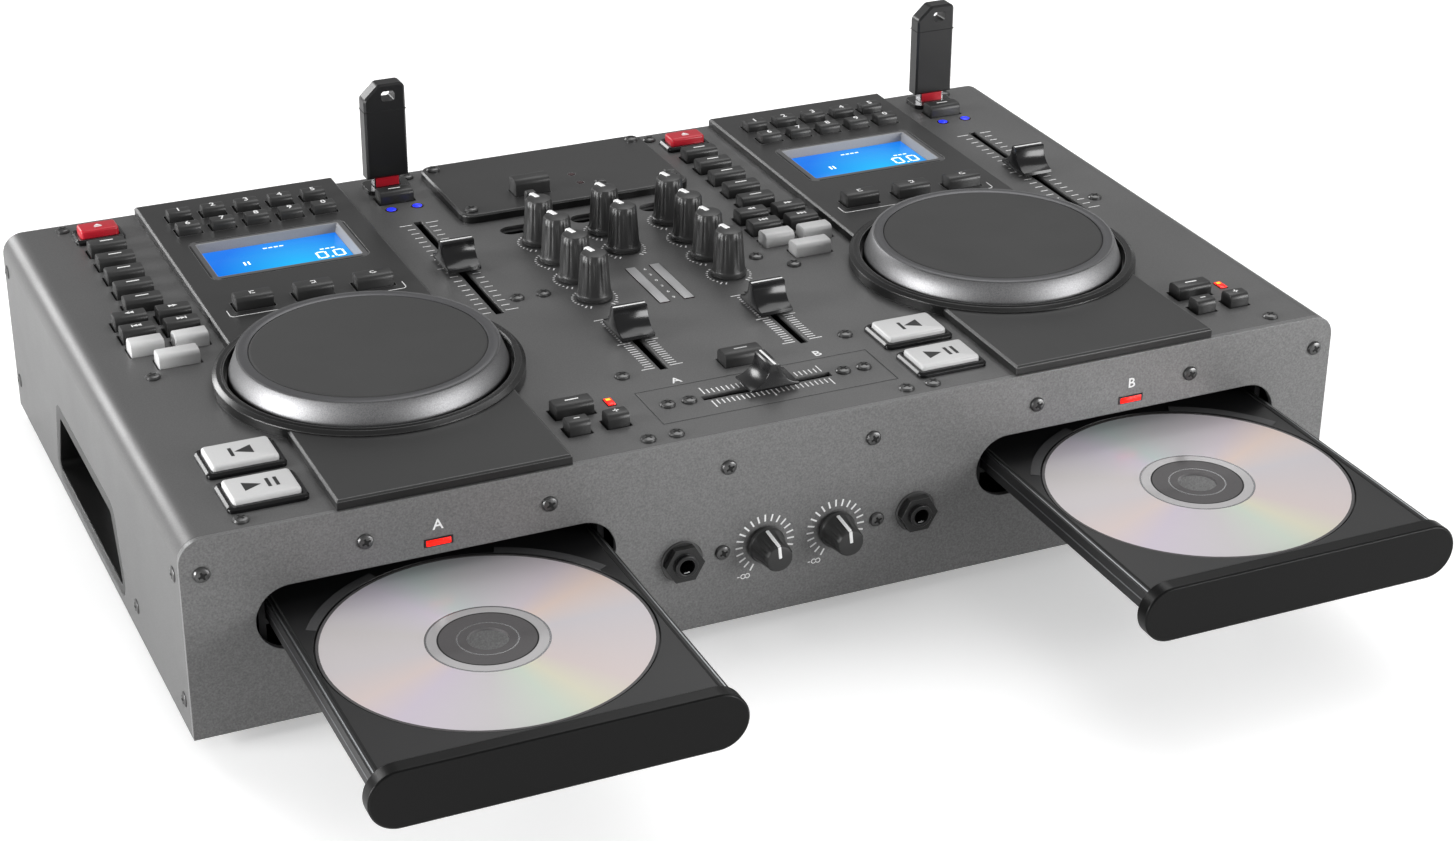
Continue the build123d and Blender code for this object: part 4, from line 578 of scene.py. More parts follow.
# Clear polycarbonate of the disc's hub and rim: grey, because it shows the dark tray.
HUB_PLASTIC = Finish("clear_hub_over_dark", "#5d5b5c", 0.10, 0.1, 0.8, 0.002, 0.03)
# Bare aluminium film round the hub: a bright band.
HUB_MIRROR = Finish("bare_mirror_band", "#f2f0f1", 0.14, 0.7, 0.8, 0.001, 0.01)
# Screen-printed ink: thin, slightly uneven white.
WHITE_INK = Finish("screen_printed_white", "#ececec", 0.5, 0.0, 0.6, 0.004, 0.03)
# The same ink, thinned to grey.
GREY_INK = Finish("screen_printed_grey", "#b9b9ba", 0.5, 0.0, 0.6, 0.004, 0.03)
# Black ink on the pale buttons and round the displays.
DARK_INK = Finish("printed_black", "#141415", 0.5, 0.0, 0.6, 0.004, 0.03)
# Painted shade in the seam round the crossfader plate.
SEAM_SHADE = Finish("painted_seam_shade", "#232323", 0.5, 0.0, 0.6, 0.004, 0.03)
# Lit lenses of moulded acrylic: red on each deck, with an amber spot, and over each tray;
# blue by the source key.
RED_LENS = Glow("lit_red_lens", "#ff1508", 1.1)
AMBER_LENS = Glow("lit_amber_spot", "#ffb020", 1.3)
BLUE_LENS = Glow("lit_blue_lens", "#1b2cff", 1.2)
# The same acrylic, unlit: smoky brown.
UNLIT_LENS = Finish("unlit_smoked_lens", "#3a2528", 0.2, 0.0, 0.8, 0.003, 0.05)
# Figures that the display lights up: nearly white.
GLYPH_WHITE = Glow("lit_display_glyph", "#e4f4ff", 1.0)


# --------------------------------------------------------------------------- mesh work


@dataclass
class Box:
    """A node's box in millimetres."""

    low: Vector
    high: Vector

    @classmethod
    def of(cls, node: str) -> "Box":
        """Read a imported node's box.

        Args:
            node: the node's name.

        Returns:
            Its box at rest, in millimetres.
        """
        low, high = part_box(node)
        return cls(low / MM, high / MM)

    @property
    def centre(self) -> Vector:
        """The middle of the box."""
        return (self.low + self.high) / 2.0

    @property
    def size(self) -> Vector:
        """Width, depth and height."""
        return self.high - self.low


def block(
    centre: Sequence[float], size: Sequence[float], edge: float = 0.0, steps: int = 2
) -> bmesh.types.BMesh:
    """Make a block with broken edges.

    Args:
        centre: its middle.
        size: width, depth and height.
        edge: bevel width on every edge.
        steps: bevel segments.

    Returns:
        A new bmesh.
    """
    work = bmesh.new()
    bmesh.ops.create_cube(work, size=1.0)
    bmesh.ops.scale(work, vec=Vector(size), verts=work.verts[:])
    if edge > 0.0:
        soften(work, work.edges[:], edge, steps)
    bmesh.ops.translate(work, vec=Vector(centre), verts=work.verts[:])
    return work


def soften(work: bmesh.types.BMesh, edges: list[bmesh.types.BMEdge], width: float, steps: int) -> None:
    """Round some edges with a circular bevel.

    Args:
        work: the mesh.
        edges: the edges to round.
        width: bevel width.
        steps: bevel segments.
    """
    bmesh.ops.bevel(
        work, geom=edges, offset=width, offset_type="OFFSET", segments=steps, profile=0.5,
        affect="EDGES", material=-1, clamp_overlap=True,
    )


def pad(
    centre: Sequence[float], size: Sequence[float], corner: float, crown: float, steps: int = 4
) -> bmesh.types.BMesh:
    """Make a key-like block: round upright corners and a rounder top edge.

    Args:
        centre: middle of its foot.
        size: width, depth and height.
        corner: radius of the upright corners.
        crown: radius round the top.
        steps: bevel segments.

    Returns:
        A new bmesh that stands on the centre's height.
    """
    work = block((0.0, 0.0, size[2] / 2.0), size)
    upright = [e for e in work.edges if abs(e.verts[0].co.z - e.verts[1].co.z) > size[2] / 2.0]
    soften(work, upright, corner, steps)
    top = [e for e in work.edges if min(v.co.z for v in e.verts) > size[2] - MERGE_MM]
    soften(work, top, crown, steps)
    bmesh.ops.translate(work, vec=Vector(centre), verts=work.verts[:])
    return work


def loaf(
    centre: Sequence[float], size: Sequence[float], crown: float, edge: float = 0.5
) -> bmesh.types.BMesh:
    """Make a key cap rounded over its front and back edges, like a loaf.

    Args:
        centre: middle of its foot.
        size: width, depth and height.
        crown: radius of the front and back edges.
        edge: bevel of the two end faces.

    Returns:
        A new bmesh that stands on the centre's height.
    """
    width, depth, height = size
    outline = [(-depth / 2, 0.0), (depth / 2, 0.0)]
    outline += arc((depth / 2 - crown, height - crown), crown, 0.0, 90.0, 5)
    outline += arc((crown - depth / 2, height - crown), crown, 90.0, 180.0, 5)
    along = Matrix(((0, 0, 1, 0), (1, 0, 0, 0), (0, 1, 0, 0), (0, 0, 0, 1)))
    work = prism(outline, along, width, edge, 2)
    bmesh.ops.translate(work, vec=Vector(centre), verts=work.verts[:])
    return work


def lathe(profile: Sequence[Point], centre: Sequence[float], steps: int = 48, turn: float = 360.0,
          start: float = 0.0) -> bmesh.types.BMesh:
    """Spin a closed profile about an upright axis.

    Args:
        profile: radius and height of each corner, in order.
        centre: a point on the axis that heights are measured from.
        steps: segments round the turn.
        turn: degrees turned.
        start: degrees from +X where it begins.

    Returns:
        A new bmesh with its faces pointing outwards.
    """
    work = bmesh.new()
    verts = [work.verts.new((r, 0.0, h)) for r, h in profile]
    ring = [work.edges.new((verts[i], verts[(i + 1) % len(verts)])) for i in range(len(verts))]
    full = turn >= 360.0
    if full:
        ring = [e for e in ring if max(v.co.x for v in e.verts) > LEVEL_MM]
    else:
        work.faces.new(verts)
    bmesh.ops.rotate(work, cent=(0, 0, 0), matrix=Matrix.Rotation(math.radians(start), 3, "Z"), verts=verts)
    bmesh.ops.spin(
        work, geom=verts + ring, cent=(0, 0, 0), axis=(0, 0, 1), angle=math.radians(turn),
        steps=steps, use_merge=full, use_duplicate=False,
    )
    if not full:
        end = [e for e in work.edges if e.is_boundary]
        bmesh.ops.holes_fill(work, edges=end, sides=0)
    bmesh.ops.remove_doubles(work, verts=work.verts[:], dist=MERGE_MM)
    bmesh.ops.recalc_face_normals(work, faces=work.faces[:])
    bmesh.ops.translate(work, vec=Vector(centre), verts=work.verts[:])
    return work


def prism(outline: Sequence[Point], plane: Matrix, thickness: float, edge: float = 0.0,
          steps: int = 2) -> bmesh.types.BMesh:
    """Extrude a flat outline and break its long edges.

    Args:
        outline: corners in the plane, in order.
        plane: turns the local XY plane into place; the outline is extruded along its Z.
        thickness: extrusion length, centred on the plane.
        edge: bevel width of the edges round both ends.
        steps: bevel segments.

    Returns:
        A new bmesh.
    """
    work = bmesh.new()
    face = work.faces.new([work.verts.new((x, y, -thickness / 2.0)) for x, y in outline])
    grown = bmesh.ops.extrude_face_region(work, geom=[face])
    top = [v for v in grown["geom"] if isinstance(v, bmesh.types.BMVert)]
    bmesh.ops.translate(work, vec=(0, 0, thickness), verts=top)
    bmesh.ops.recalc_face_normals(work, faces=work.faces[:])
    if edge > 0.0:
        rims = [e for e in work.edges if abs(e.verts[0].co.z - e.verts[1].co.z) < LEVEL_MM]
        soften(work, rims, edge, steps)
    bmesh.ops.transform(work, matrix=plane, verts=work.verts[:])
    return work


def turned(work: bmesh.types.BMesh, degrees: float, axis: str, about: Sequence[float]) -> bmesh.types.BMesh:
    """Turn a mesh about an axis through a point.

    Args:
        work: the mesh.
        degrees: the turn.
        axis: "X", "Y" or "Z".
        about: a point on the axis.

    Returns:
        The same mesh.
    """
    bmesh.ops.rotate(
        work, cent=Vector(about), matrix=Matrix.Rotation(math.radians(degrees), 3, axis), verts=work.verts[:]
    )
    return work


def arc(centre: Point, radius: float, start: float, end: float, steps: int) -> list[Point]:
    """Points along a circular arc.

    Args:
        centre: the arc's centre.
        radius: its radius.
        start: first angle in degrees.
        end: last angle in degrees.
        steps: spans.

    Returns:
        steps + 1 points.
    """
    angles = [math.radians(start + (end - start) * i / steps) for i in range(steps + 1)]
    return [(centre[0] + radius * math.cos(a), centre[1] + radius * math.sin(a)) for a in angles]


def upright(centre: Sequence[float]) -> Matrix:
    """Plane whose X is to the right and Y is up, seen from the front."""
    return Matrix.Translation(Vector(centre)) @ Matrix.Rotation(math.radians(90.0), 4, "X")


class Workpiece:
    """One finished object in the making: shapes are added in millimetres, each with a finish."""

    def __init__(self, name: str) -> None:
        """Start an empty piece.

        Args:
            name: the finished object's name.
        """
        self.name = name
        self.mesh = bmesh.new()
        self.materials: list[bpy.types.Material] = []

    def index_of(self, finish: Surface) -> int:
        """Find the material index of a finish, adding the material when it is new.

        Args:
            finish: the finish.

        Returns:
            Its index on this piece.
        """
        material = finish.material()
        if material not in self.materials:
            self.materials.append(material)
        return self.materials.index(material)

    def add(
        self, part: bmesh.types.BMesh, finish: Surface, slopes: Optional[Surface] = None
    ) -> "Workpiece":
        """Add a shape with its finish.

        Args:
            part: the shape, which is used up.
            finish: the finish that covers it.
            slopes: another finish for the faces that are neither level nor upright.

        Returns:
            This piece.
        """
        index = self.index_of(finish)
        for face in part.faces:
            face.material_index = index
        if slopes is not None:
            other = self.index_of(slopes)
            for face in part.faces:
                if SLOPE_LEAST < face.normal.z < SLOPE_MOST:
                    face.material_index = other
        carrier = bpy.data.meshes.new("carrier")
        part.to_mesh(carrier)
        part.free()
        self.mesh.from_mesh(carrier)
        bpy.data.meshes.remove(carrier)
        return self

    def lettering(
        self, text: str, height: float, place: Matrix, finish: Surface, weight: float = 0.012
    ) -> "Workpiece":
        """Add raised lettering.

        Args:
            text: generic digits or letters.
            height: font size in millimetres.
            place: turns the text's XY plane into place, centred on its origin.
            finish: the ink.
            weight: how far the strokes are thickened, as a share of the height.

        Returns:
            This piece.
        """
        curve = bpy.data.curves.new("lettering", "FONT")
        curve.body = text
        curve.size = height
        curve.align_x = "CENTER"
        curve.align_y = "CENTER"
        curve.extrude = PRINT_T / 2.0
        curve.resolution_u = 2
        curve.offset = height * weight
        holder = bpy.data.objects.new("lettering", curve)
        flat = bpy.data.meshes.new_from_object(holder)
        work = bmesh.new()
        work.from_mesh(flat)
        bmesh.ops.transform(work, matrix=place, verts=work.verts[:])
        bpy.data.objects.remove(holder)
        bpy.data.curves.remove(curve)
        bpy.data.meshes.remove(flat)
        return self.add(work, finish)

    def finish(self, body: str, slot: str, replaces: Sequence[str] = ()) -> bpy.types.Object:
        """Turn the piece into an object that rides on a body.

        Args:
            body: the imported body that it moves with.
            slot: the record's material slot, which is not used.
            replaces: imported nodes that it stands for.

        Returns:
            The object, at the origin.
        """
        bmesh.ops.scale(self.mesh, vec=Vector((MM, MM, MM)), verts=self.mesh.verts[:])
        data = bpy.data.meshes.new(self.name)
        self.mesh.to_mesh(data)
        self.mesh.free()
        for material in self.materials:
            data.materials.append(material)
        data.shade_smooth()
        data.set_sharp_from_angle(angle=SMOOTH_ANGLE)
        piece = bpy.data.objects.new(self.name, data)
        bpy.context.scene.collection.objects.link(piece)
        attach(piece, body)
        if replaces:
            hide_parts(*replaces)
        LOG.info("%s: %d faces", self.name, len(data.polygons))
        return piece


def dress(nodes: dict, name: str, finish: Surface) -> None:
    """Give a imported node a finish.

    Args:
        nodes: the frame's nodes.
        name: the node.
        finish: the finish for its one slot.
    """
    data = nodes[name].data
    data.materials.clear()
    data.materials.append(finish.material())


def flat_plane(x: float, y: float, z: float, turn: float = 0.0) -> Matrix:
    """Plane that lies face up at a point, turned about the upright axis."""
    return Matrix.Translation((x, y, z)) @ Matrix.Rotation(math.radians(turn), 4, "Z")


# --------------------------------------------------------------------------- shared places


@dataclass
class Layout:
    """Places that several sub-assemblies share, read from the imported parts."""

    front: float
    top: float
    plate_top: float
    deck_x: dict[Side, float]
    tray_x: dict[Side, float]

    @classmethod
    def read(cls) -> "Layout":
        """Read the shared places from the frame.

        Returns:
            The places, in millimetres.
        """
        return cls(
            front=Box.of("front_panel").low.y,
            top=Box.of("front_panel").high.z,
            plate_top=Box.of("mixer_plate").high.z,
            deck_x={side: Box.of(f"jog_wheel_{side.value}").centre.x for side in Side},
            tray_x={side: Box.of(f"tray_{side.value}").centre.x for side in Side},
        )

    def y(self, distance: float) -> float:
        """Y of a place measured from the front face."""
        return self.front + distance


# --------------------------------------------------------------------------- marks


@dataclass
class Stamp:
    """Draws the generic signs and scales that are printed on the object."""

    target: Workpiece
    ink: Surface = WHITE_INK

    def bar(self, x: float, y: float, z: float, width: float, depth: float, turn: float = 0.0) -> None:
        """Print one bar on an upward face.

        Args:
            x: centre.
            y: centre.
            z: height of the face.
            width: size along the bar's own X.
            depth: size along its own Y.
            turn: degrees about the upright axis.
        """
        part = block((0, 0, 0), (width, depth, PRINT_T))
        bmesh.ops.transform(part, matrix=flat_plane(x, y, z + PRINT_MID, turn), verts=part.verts[:])
        self.target.add(part, self.ink)

    def shape(self, outline: Sequence[Point], x: float, y: float, z: float) -> None:
        """Print a filled outline on an upward face."""
        self.target.add(prism(outline, flat_plane(x, y, z + PRINT_MID), PRINT_T), self.ink)

    def triangle(self, x: float, y: float, z: float, size: float, way: float) -> None:
        """Print an arrowhead that points along +X, or -X for a negative way."""
        reach = size * 0.5 * way
        self.shape([(-reach, -size / 2), (reach, 0.0), (-reach, size / 2)], x, y, z)

    def text(self, words: str, height: float, x: float, y: float, z: float, turn: float = 0.0) -> None:
        """Print digits or letters on an upward face."""
        self.target.lettering(words, height, flat_plane(x, y, z + PRINT_MID, turn), self.ink)

    def sign(self, sign: Sign, x: float, y: float, z: float, size: float) -> None:
        """Print one of the generic signs.

        Args:
            sign: which one.
            x: centre.
            y: centre.
            z: height of the face.
            size: its height.
        """
        gap = size * 0.62
        thin = size * 0.2
        if sign in (Sign.REWIND, Sign.FORWARD, Sign.PREVIOUS, Sign.NEXT):
            way = 1.0 if sign in (Sign.FORWARD, Sign.NEXT) else -1.0
            self.triangle(x - gap / 2, y, z, size * 0.8, way)
            self.triangle(x + gap / 2, y, z, size * 0.8, way)
            if sign in (Sign.PREVIOUS, Sign.NEXT):
                self.bar(x + way * gap * 1.2, y, z, thin, size * 0.8)
        elif sign is Sign.PLAY_PAUSE:
            self.triangle(x - size * 0.5, y, z, size, 1.0)
            self.bar(x + size * 0.4, y, z, thin, size)
            self.bar(x + size * 0.85, y, z, thin, size)
        elif sign is Sign.BACK_TO_START:
            self.bar(x - size * 0.5, y, z, thin, size)
            self.triangle(x + size * 0.2, y, z, size, -1.0)
        elif sign is Sign.EJECT:
            self.shape([(-size / 2, -size * 0.1), (size / 2, -size * 0.1), (0.0, size * 0.45)], x, y, z)
            self.bar(x, y - size * 0.35, z, size, thin)
        elif sign in (Sign.LOOP_START, Sign.LOOP_END):
            way = 1.0 if sign is Sign.LOOP_START else -1.0
            self.bar(x - way * size * 0.35, y, z, thin, size)
            for end in (-1.0, 1.0):
                self.bar(x, y + end * size * 0.4, z, size * 0.7, thin)
        elif sign is Sign.LOOP_AGAIN:
            ring = lathe([(size * 0.32, -PRINT_SINK), (size * 0.46, -PRINT_SINK),
                          (size * 0.46, PRINT_RISE), (size * 0.32, PRINT_RISE)], (x, y, z), 16, 270.0, 45.0)
            self.target.add(ring, self.ink)
            self.triangle(x + size * 0.45, y - size * 0.25, z, size * 0.45, 1.0)
        elif sign is Sign.DASH:
            self.bar(x, y, z, size * 2.1, size * 0.3)
        elif sign is Sign.MINUS:
            self.bar(x, y, z, size * 0.9, thin)
        elif sign is Sign.PLUS:
            self.bar(x, y, z, size * 0.9, thin)
            self.bar(x, y, z, thin, size * 0.9)


# --------------------------------------------------------------------------- sub-assemblies


@dataclass
class Casing:
    """Cover, front, base, grips, feet and the fixed insides."""

    nodes: dict
    layout: Layout
    screw_r: float = 3.1
    screw_h: float = 1.5
    cross: float = 3.4
    cross_t: float = 0.8
    pit_r: float = 0.9
    head_steps: int = 20
    deck_places: tuple[Point, ...] = (
        (-78.0, 291.5), (-78.0, 133.5), (-78.0, 8.0), (78.8, 292.0), (78.0, 147.3), (78.0, 8.0),
    )
    mixer_x: float = 48.5
    mixer_y: tuple[float, ...] = (147.0, 61.5, 8.0)
    crossfader_x: tuple[float, ...] = (32.9, 41.9)
    crossfader_y: float = 31.8
    plate_y: tuple[float, ...] = (286.1, 234.9)
    front_places: tuple[Point, ...] = (
        (30.5, 73.2), (102.8, 73.2), (173.5, 73.2), (233.4, 73.2), (33.0, 37.0),
    )
    side_places: tuple[Point, ...] = (
        (10.0, 70.0), (10.0, 18.0), (80.0, 19.0), (292.0, 72.0), (292.0, 20.0),
    )

    def dress(self) -> None:
        """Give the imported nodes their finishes."""
        for name, finish in (
            ("top_cover", COVER_COAT), ("front_panel", PANEL_COAT), ("base_pan", BASE_COAT),
            ("side_grips", GRIP_ABS), ("feet", FOOT_RUBBER), ("mixer_plate", MIXER_COAT),
            ("deck_plate_a", PLATE_COAT), ("deck_plate_b", PLATE_COAT), ("crossfader_plate", COVER_COAT),
            ("button_surrounds", SURROUND_ABS), ("indicator_lenses", UNLIT_LENS),
            ("control_bodies", CASE_ABS), ("sockets", NUT_NYLON), ("disc_drives", DRIVE_STEEL),
            ("circuit_boards", BOARD_MASK), ("power_switch", SURROUND_ABS),
        ):
            dress(self.nodes, name, finish)
            LOG.info("%s: dressed", name)

    def screw_head(self, piece: Workpiece, centre: Vector, turn: Matrix) -> None:
        """Add one cross-recess screw head.

        Args:
            piece: the group it belongs to.
            centre: where the head sits on its panel.
            turn: turns the head's upright axis to the panel's outward side.
        """
        r, h = self.screw_r, self.screw_h
        rise = [(0, 0), (r, 0), (r, h * 0.35), (r * 0.86, h * 0.75), (r * 0.55, h), (0, h)]
        head = lathe(rise, (0, 0, 0), self.head_steps)
        slots = []
        for angle in (25.0, 115.0):
            bar = block((0, 0, h), (self.cross, self.cross_t, 0.12), 0.0)
            slots.append(turned(bar, angle, "Z", (0, 0, 0)))
        hole = [(0, h - 0.2), (self.pit_r, h - 0.2), (self.pit_r, h + 0.07), (0, h + 0.07)]
        pit = lathe(hole, (0, 0, 0), self.head_steps // 2)
        place = Matrix.Translation(centre) @ turn
        for part, finish in ((head, SCREW_STEEL), (slots[0], RECESS_BLACK), (slots[1], RECESS_BLACK),
                             (pit, RECESS_BLACK)):
            bmesh.ops.transform(part, matrix=place, verts=part.verts[:])
            piece.add(part, finish)

    def build(self) -> None:
        """Make the screws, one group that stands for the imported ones."""
        layout = self.layout
        piece = Workpiece("cross_recess_screws")
        face_up = Matrix.Identity(4)
        for side in Side:
            x = layout.deck_x[side]
            for dx, y in self.deck_places:
                self.screw_head(piece, Vector((x + dx, layout.y(y), layout.top)), face_up)
        for way in (-1.0, 1.0):
            for y in self.mixer_y:
                self.screw_head(piece, Vector((way * self.mixer_x, layout.y(y), layout.top)), face_up)
            for x in self.crossfader_x:
                self.screw_head(piece, Vector((way * x, layout.y(self.crossfader_y), layout.top)), face_up)
            for y in self.plate_y:
                self.screw_head(piece, Vector((way * self.mixer_x, layout.y(y), layout.plate_top)), face_up)
        face_front = Matrix.Rotation(math.radians(90.0), 4, "X")
        for way in (-1.0, 1.0):
            for x, z in self.front_places:
                self.screw_head(piece, Vector((way * x, layout.front, z)), face_front)
        cover = Box.of("top_cover")
        for way, x in ((-1.0, cover.low.x), (1.0, cover.high.x)):
            face_side = Matrix.Rotation(math.radians(90.0 * way), 4, "Y")
            for y, z in self.side_places:
                flat = face_side @ Matrix.Diagonal((1.0, 1.0, 0.5, 1.0))
                self.screw_head(piece, Vector((x, layout.y(y), z)), flat)
        piece.finish("chassis", "screw_black", ["screws"])


@dataclass
class JogWheel:
    """Jog wheel: lacquered dish with a grey top ring and a rubber pad."""

    side: Side
    base_r: float = 55.0
    shoulder_r: float = 51.3
    top_r: float = 50.4
    pad_r: float = 46.2
    wall: float = 3.0
    round_steps: int = 96
    collar_steps: int = 128
    collar_h: float = 5.7

    def build(self, layout: Layout) -> None:
        """Make the wheel and its pad.

        Args:
            layout: the shared places.
        """
        box = Box.of(f"jog_wheel_{self.side.value}")
        centre = (box.centre.x, box.centre.y, 0.0)
        top = box.high.z
        foot = layout.top + 2.0
        wheel = Workpiece(f"jog_wheel_dish_{self.side.value}")
        flank = [
            (self.base_r - self.wall, foot), (self.base_r - 0.4, foot), (self.base_r, foot + 0.4),
            (self.base_r, foot + 1.4), (self.shoulder_r, top - 0.5), (self.shoulder_r - 0.35, top - 0.12),
            (self.shoulder_r - 0.9, top - 0.1), (self.top_r - self.wall, top - 1.2),
            (self.base_r - self.wall - 1.2, foot + 1.0),
        ]
        wheel.add(lathe(flank, centre, self.round_steps), JOG_LACQUER)
        ring = [
            (self.pad_r + 0.2, top - 1.8), (self.shoulder_r - 0.9, top - 1.8),
            (self.shoulder_r - 0.9, top - 0.2), (self.shoulder_r - 1.5, top),
            (self.pad_r + 0.7, top), (self.pad_r + 0.2, top - 0.3),
        ]
        wheel.add(lathe(ring, centre, self.round_steps), JOG_RING_LACQUER)
        web = [(0, top - 4.8), (self.top_r - 1.0, top - 4.8), (self.top_r - 1.0, top - 1.85), (0, top - 1.85)]
        wheel.add(lathe(web, centre, 64), KNOB_ABS)
        hub = [(0, box.low.z), (4.0, box.low.z), (4.0, foot - 0.5), (12.0, foot - 0.5), (12.0, top - 4.7),
               (0, top - 4.7)]
        wheel.add(lathe(hub, centre, 32), BRIGHT_STEEL)
        wheel.finish(f"jog_{self.side.value}", "jog_silver", [f"jog_wheel_{self.side.value}"])
        rubber = Workpiece(f"jog_rubber_pad_{self.side.value}")
        skin = [
            (0, top - 1.8), (self.pad_r, top - 1.8), (self.pad_r, top - 0.45),
            (self.pad_r - 0.5, top - 0.1), (self.pad_r - 1.2, top), (0, top),
        ]
        rubber.add(lathe(skin, centre, self.round_steps), PAD_RUBBER)
        rubber.finish(f"jog_{self.side.value}", "pad_rubber", [f"jog_pad_{self.side.value}"])
        collar = Workpiece(f"jog_collar_{self.side.value}")
        lip = layout.top + self.collar_h
        rim = [(56.2, layout.top + 0.1), (56.9, layout.top + 0.1), (56.9, lip - 0.2), (57.2, lip + 0.08),
               (58.9, lip + 0.08), (60.62, lip - 1.3), (60.62, layout.top + 0.6), (60.75, layout.top + 0.6),
               (60.75, lip - 1.1), (59.0, lip + 0.2), (57.0, lip + 0.2), (56.2, lip - 0.5)]
        collar.add(lathe(rim, centre, self.collar_steps), COLLAR_COAT)
        collar.finish("chassis", "plate_paint")


@dataclass
class Display:
    """Sunk display: grey flange, sloped walls and a backlit screen with generic figures."""

    side: Side
    flange: float = 2.6
    slope: float = 1.3
    sink: float = 3.9
    screen_w: float = 60.2
    screen_d: float = 34.1
    glyph_h: float = 6.3
    stroke: float = 0.9
    corner: float = 3.6
    line_w: float = 0.6
    line_gap: float = 7.0

    def build(self, layout: Layout) -> None:
        """Make the frame and the screen.

        Args:
            layout: the shared places.
        """
        whole = Box.of("displays")
        width = whole.size.x - (layout.deck_x[Side.B] - layout.deck_x[Side.A])
        x = layout.deck_x[self.side]
        y = whole.centre.y
        top = whole.high.z
        frame = Workpiece(f"display_frame_{self.side.value}")
        base = block((x, y, top - whole.size.z / 2), (width, whole.size.y, whole.size.z))
        corners = [e for e in base.edges if abs(e.verts[0].co.z - e.verts[1].co.z) > 1.0]
        soften(base, corners, self.corner, 6)
        base.faces.ensure_lookup_table()
        lid = max(base.faces, key=lambda f: f.calc_center_median().z)
        bmesh.ops.inset_region(base, faces=[lid], thickness=self.flange, depth=0.12)
        bmesh.ops.inset_region(base, faces=[lid], thickness=0.3, depth=-0.1)
        bmesh.ops.inset_region(base, faces=[lid], thickness=self.slope, depth=-self.sink)
        base.normal_update()
        frame.add(base, BEZEL_ABS, SLOPE_ABS)
        self.rim(frame, x, y, top, width, whole.size.y)
        replaced = ["displays"] if self.side is Side.A else []
        frame.finish("chassis", "display_plastic", replaced)
        self.screen(x, y, top - self.sink + 0.05)

    def rim(self, frame: Workpiece, x: float, y: float, top: float, width: float, depth: float) -> None:
        """Lay the thin black line round the flange.

        Args:
            frame: the display frame.
            x: centre.
            y: centre.
            top: height of the flange.
            width: outer width.
            depth: outer depth.
        """
        line, gap = self.line_w, self.line_gap
        z = top + 0.05
        for way in (-1.0, 1.0):
            frame.add(block((x + way * (width / 2 - line / 2), y, z), (line, depth - gap, 0.14)), DARK_INK)
            frame.add(block((x, y + way * (depth / 2 - line / 2), z), (width - gap, line, 0.14)), DARK_INK)

    def screen(self, x: float, y: float, z: float) -> None:
        """Make the lit screen with its figures.

        Args:
            x: centre.
            y: centre.
            z: height of the glass.
        """
        glass = BacklitScreen(
            f"backlit_screen_{self.side.value}", "#0879ee", "#20c4ff",
            (x + self.screen_w * 0.12, y - self.screen_d * 0.42, z), self.screen_w * 0.62,
        )
        screen = Workpiece(f"display_screen_{self.side.value}")
        screen.add(block((x, y, z - 0.3), (self.screen_w, self.screen_d, 0.5), 0.1), DARK_INK)
        screen.add(block((x, y, z), (self.screen_w - 0.6, self.screen_d - 0.6, 0.3), 0.1), glass)
        stamp = Stamp(screen, GLYPH_WHITE)
        face = z + 0.15
        for shift in (-0.9, 0.9):
            stamp.bar(x - self.screen_w * 0.24 + shift, y - 1.0, face, 0.8, 3.4)
        right = x + self.screen_w * 0.5
        row = y - self.screen_d * 0.14
        for place in (12.6, 5.0):
            self.zero(stamp, right - place, row, face)
        stamp.bar(right - 8.8, row - self.glyph_h / 2, face, 1.0, 1.0)
        for step in range(4):
            stamp.bar(x - 3.0 + step * 2.4, y + self.screen_d * 0.34, face, 1.7, 0.8)
        for step in range(3):
            stamp.bar(right - 11.0 + step * 2.4, row + self.glyph_h * 0.95, face, 1.7, 0.8)
        screen.finish("chassis", "display_plastic")

    def zero(self, stamp: Stamp, x: float, y: float, z: float) -> None:
        """Draw a seven-segment zero.

        Args:
            stamp: the lit ink.
            x: centre.
            y: centre.
            z: height of the glass.
        """
        width = self.glyph_h * 0.62
        for way in (-1.0, 1.0):
            stamp.bar(x, y + way * self.glyph_h / 2, z, width * 0.8, self.stroke)
            for half in (-1.0, 1.0):
                stamp.bar(
                    x + way * width / 2, y + half * self.glyph_h / 4, z, self.stroke, self.glyph_h * 0.42
                )


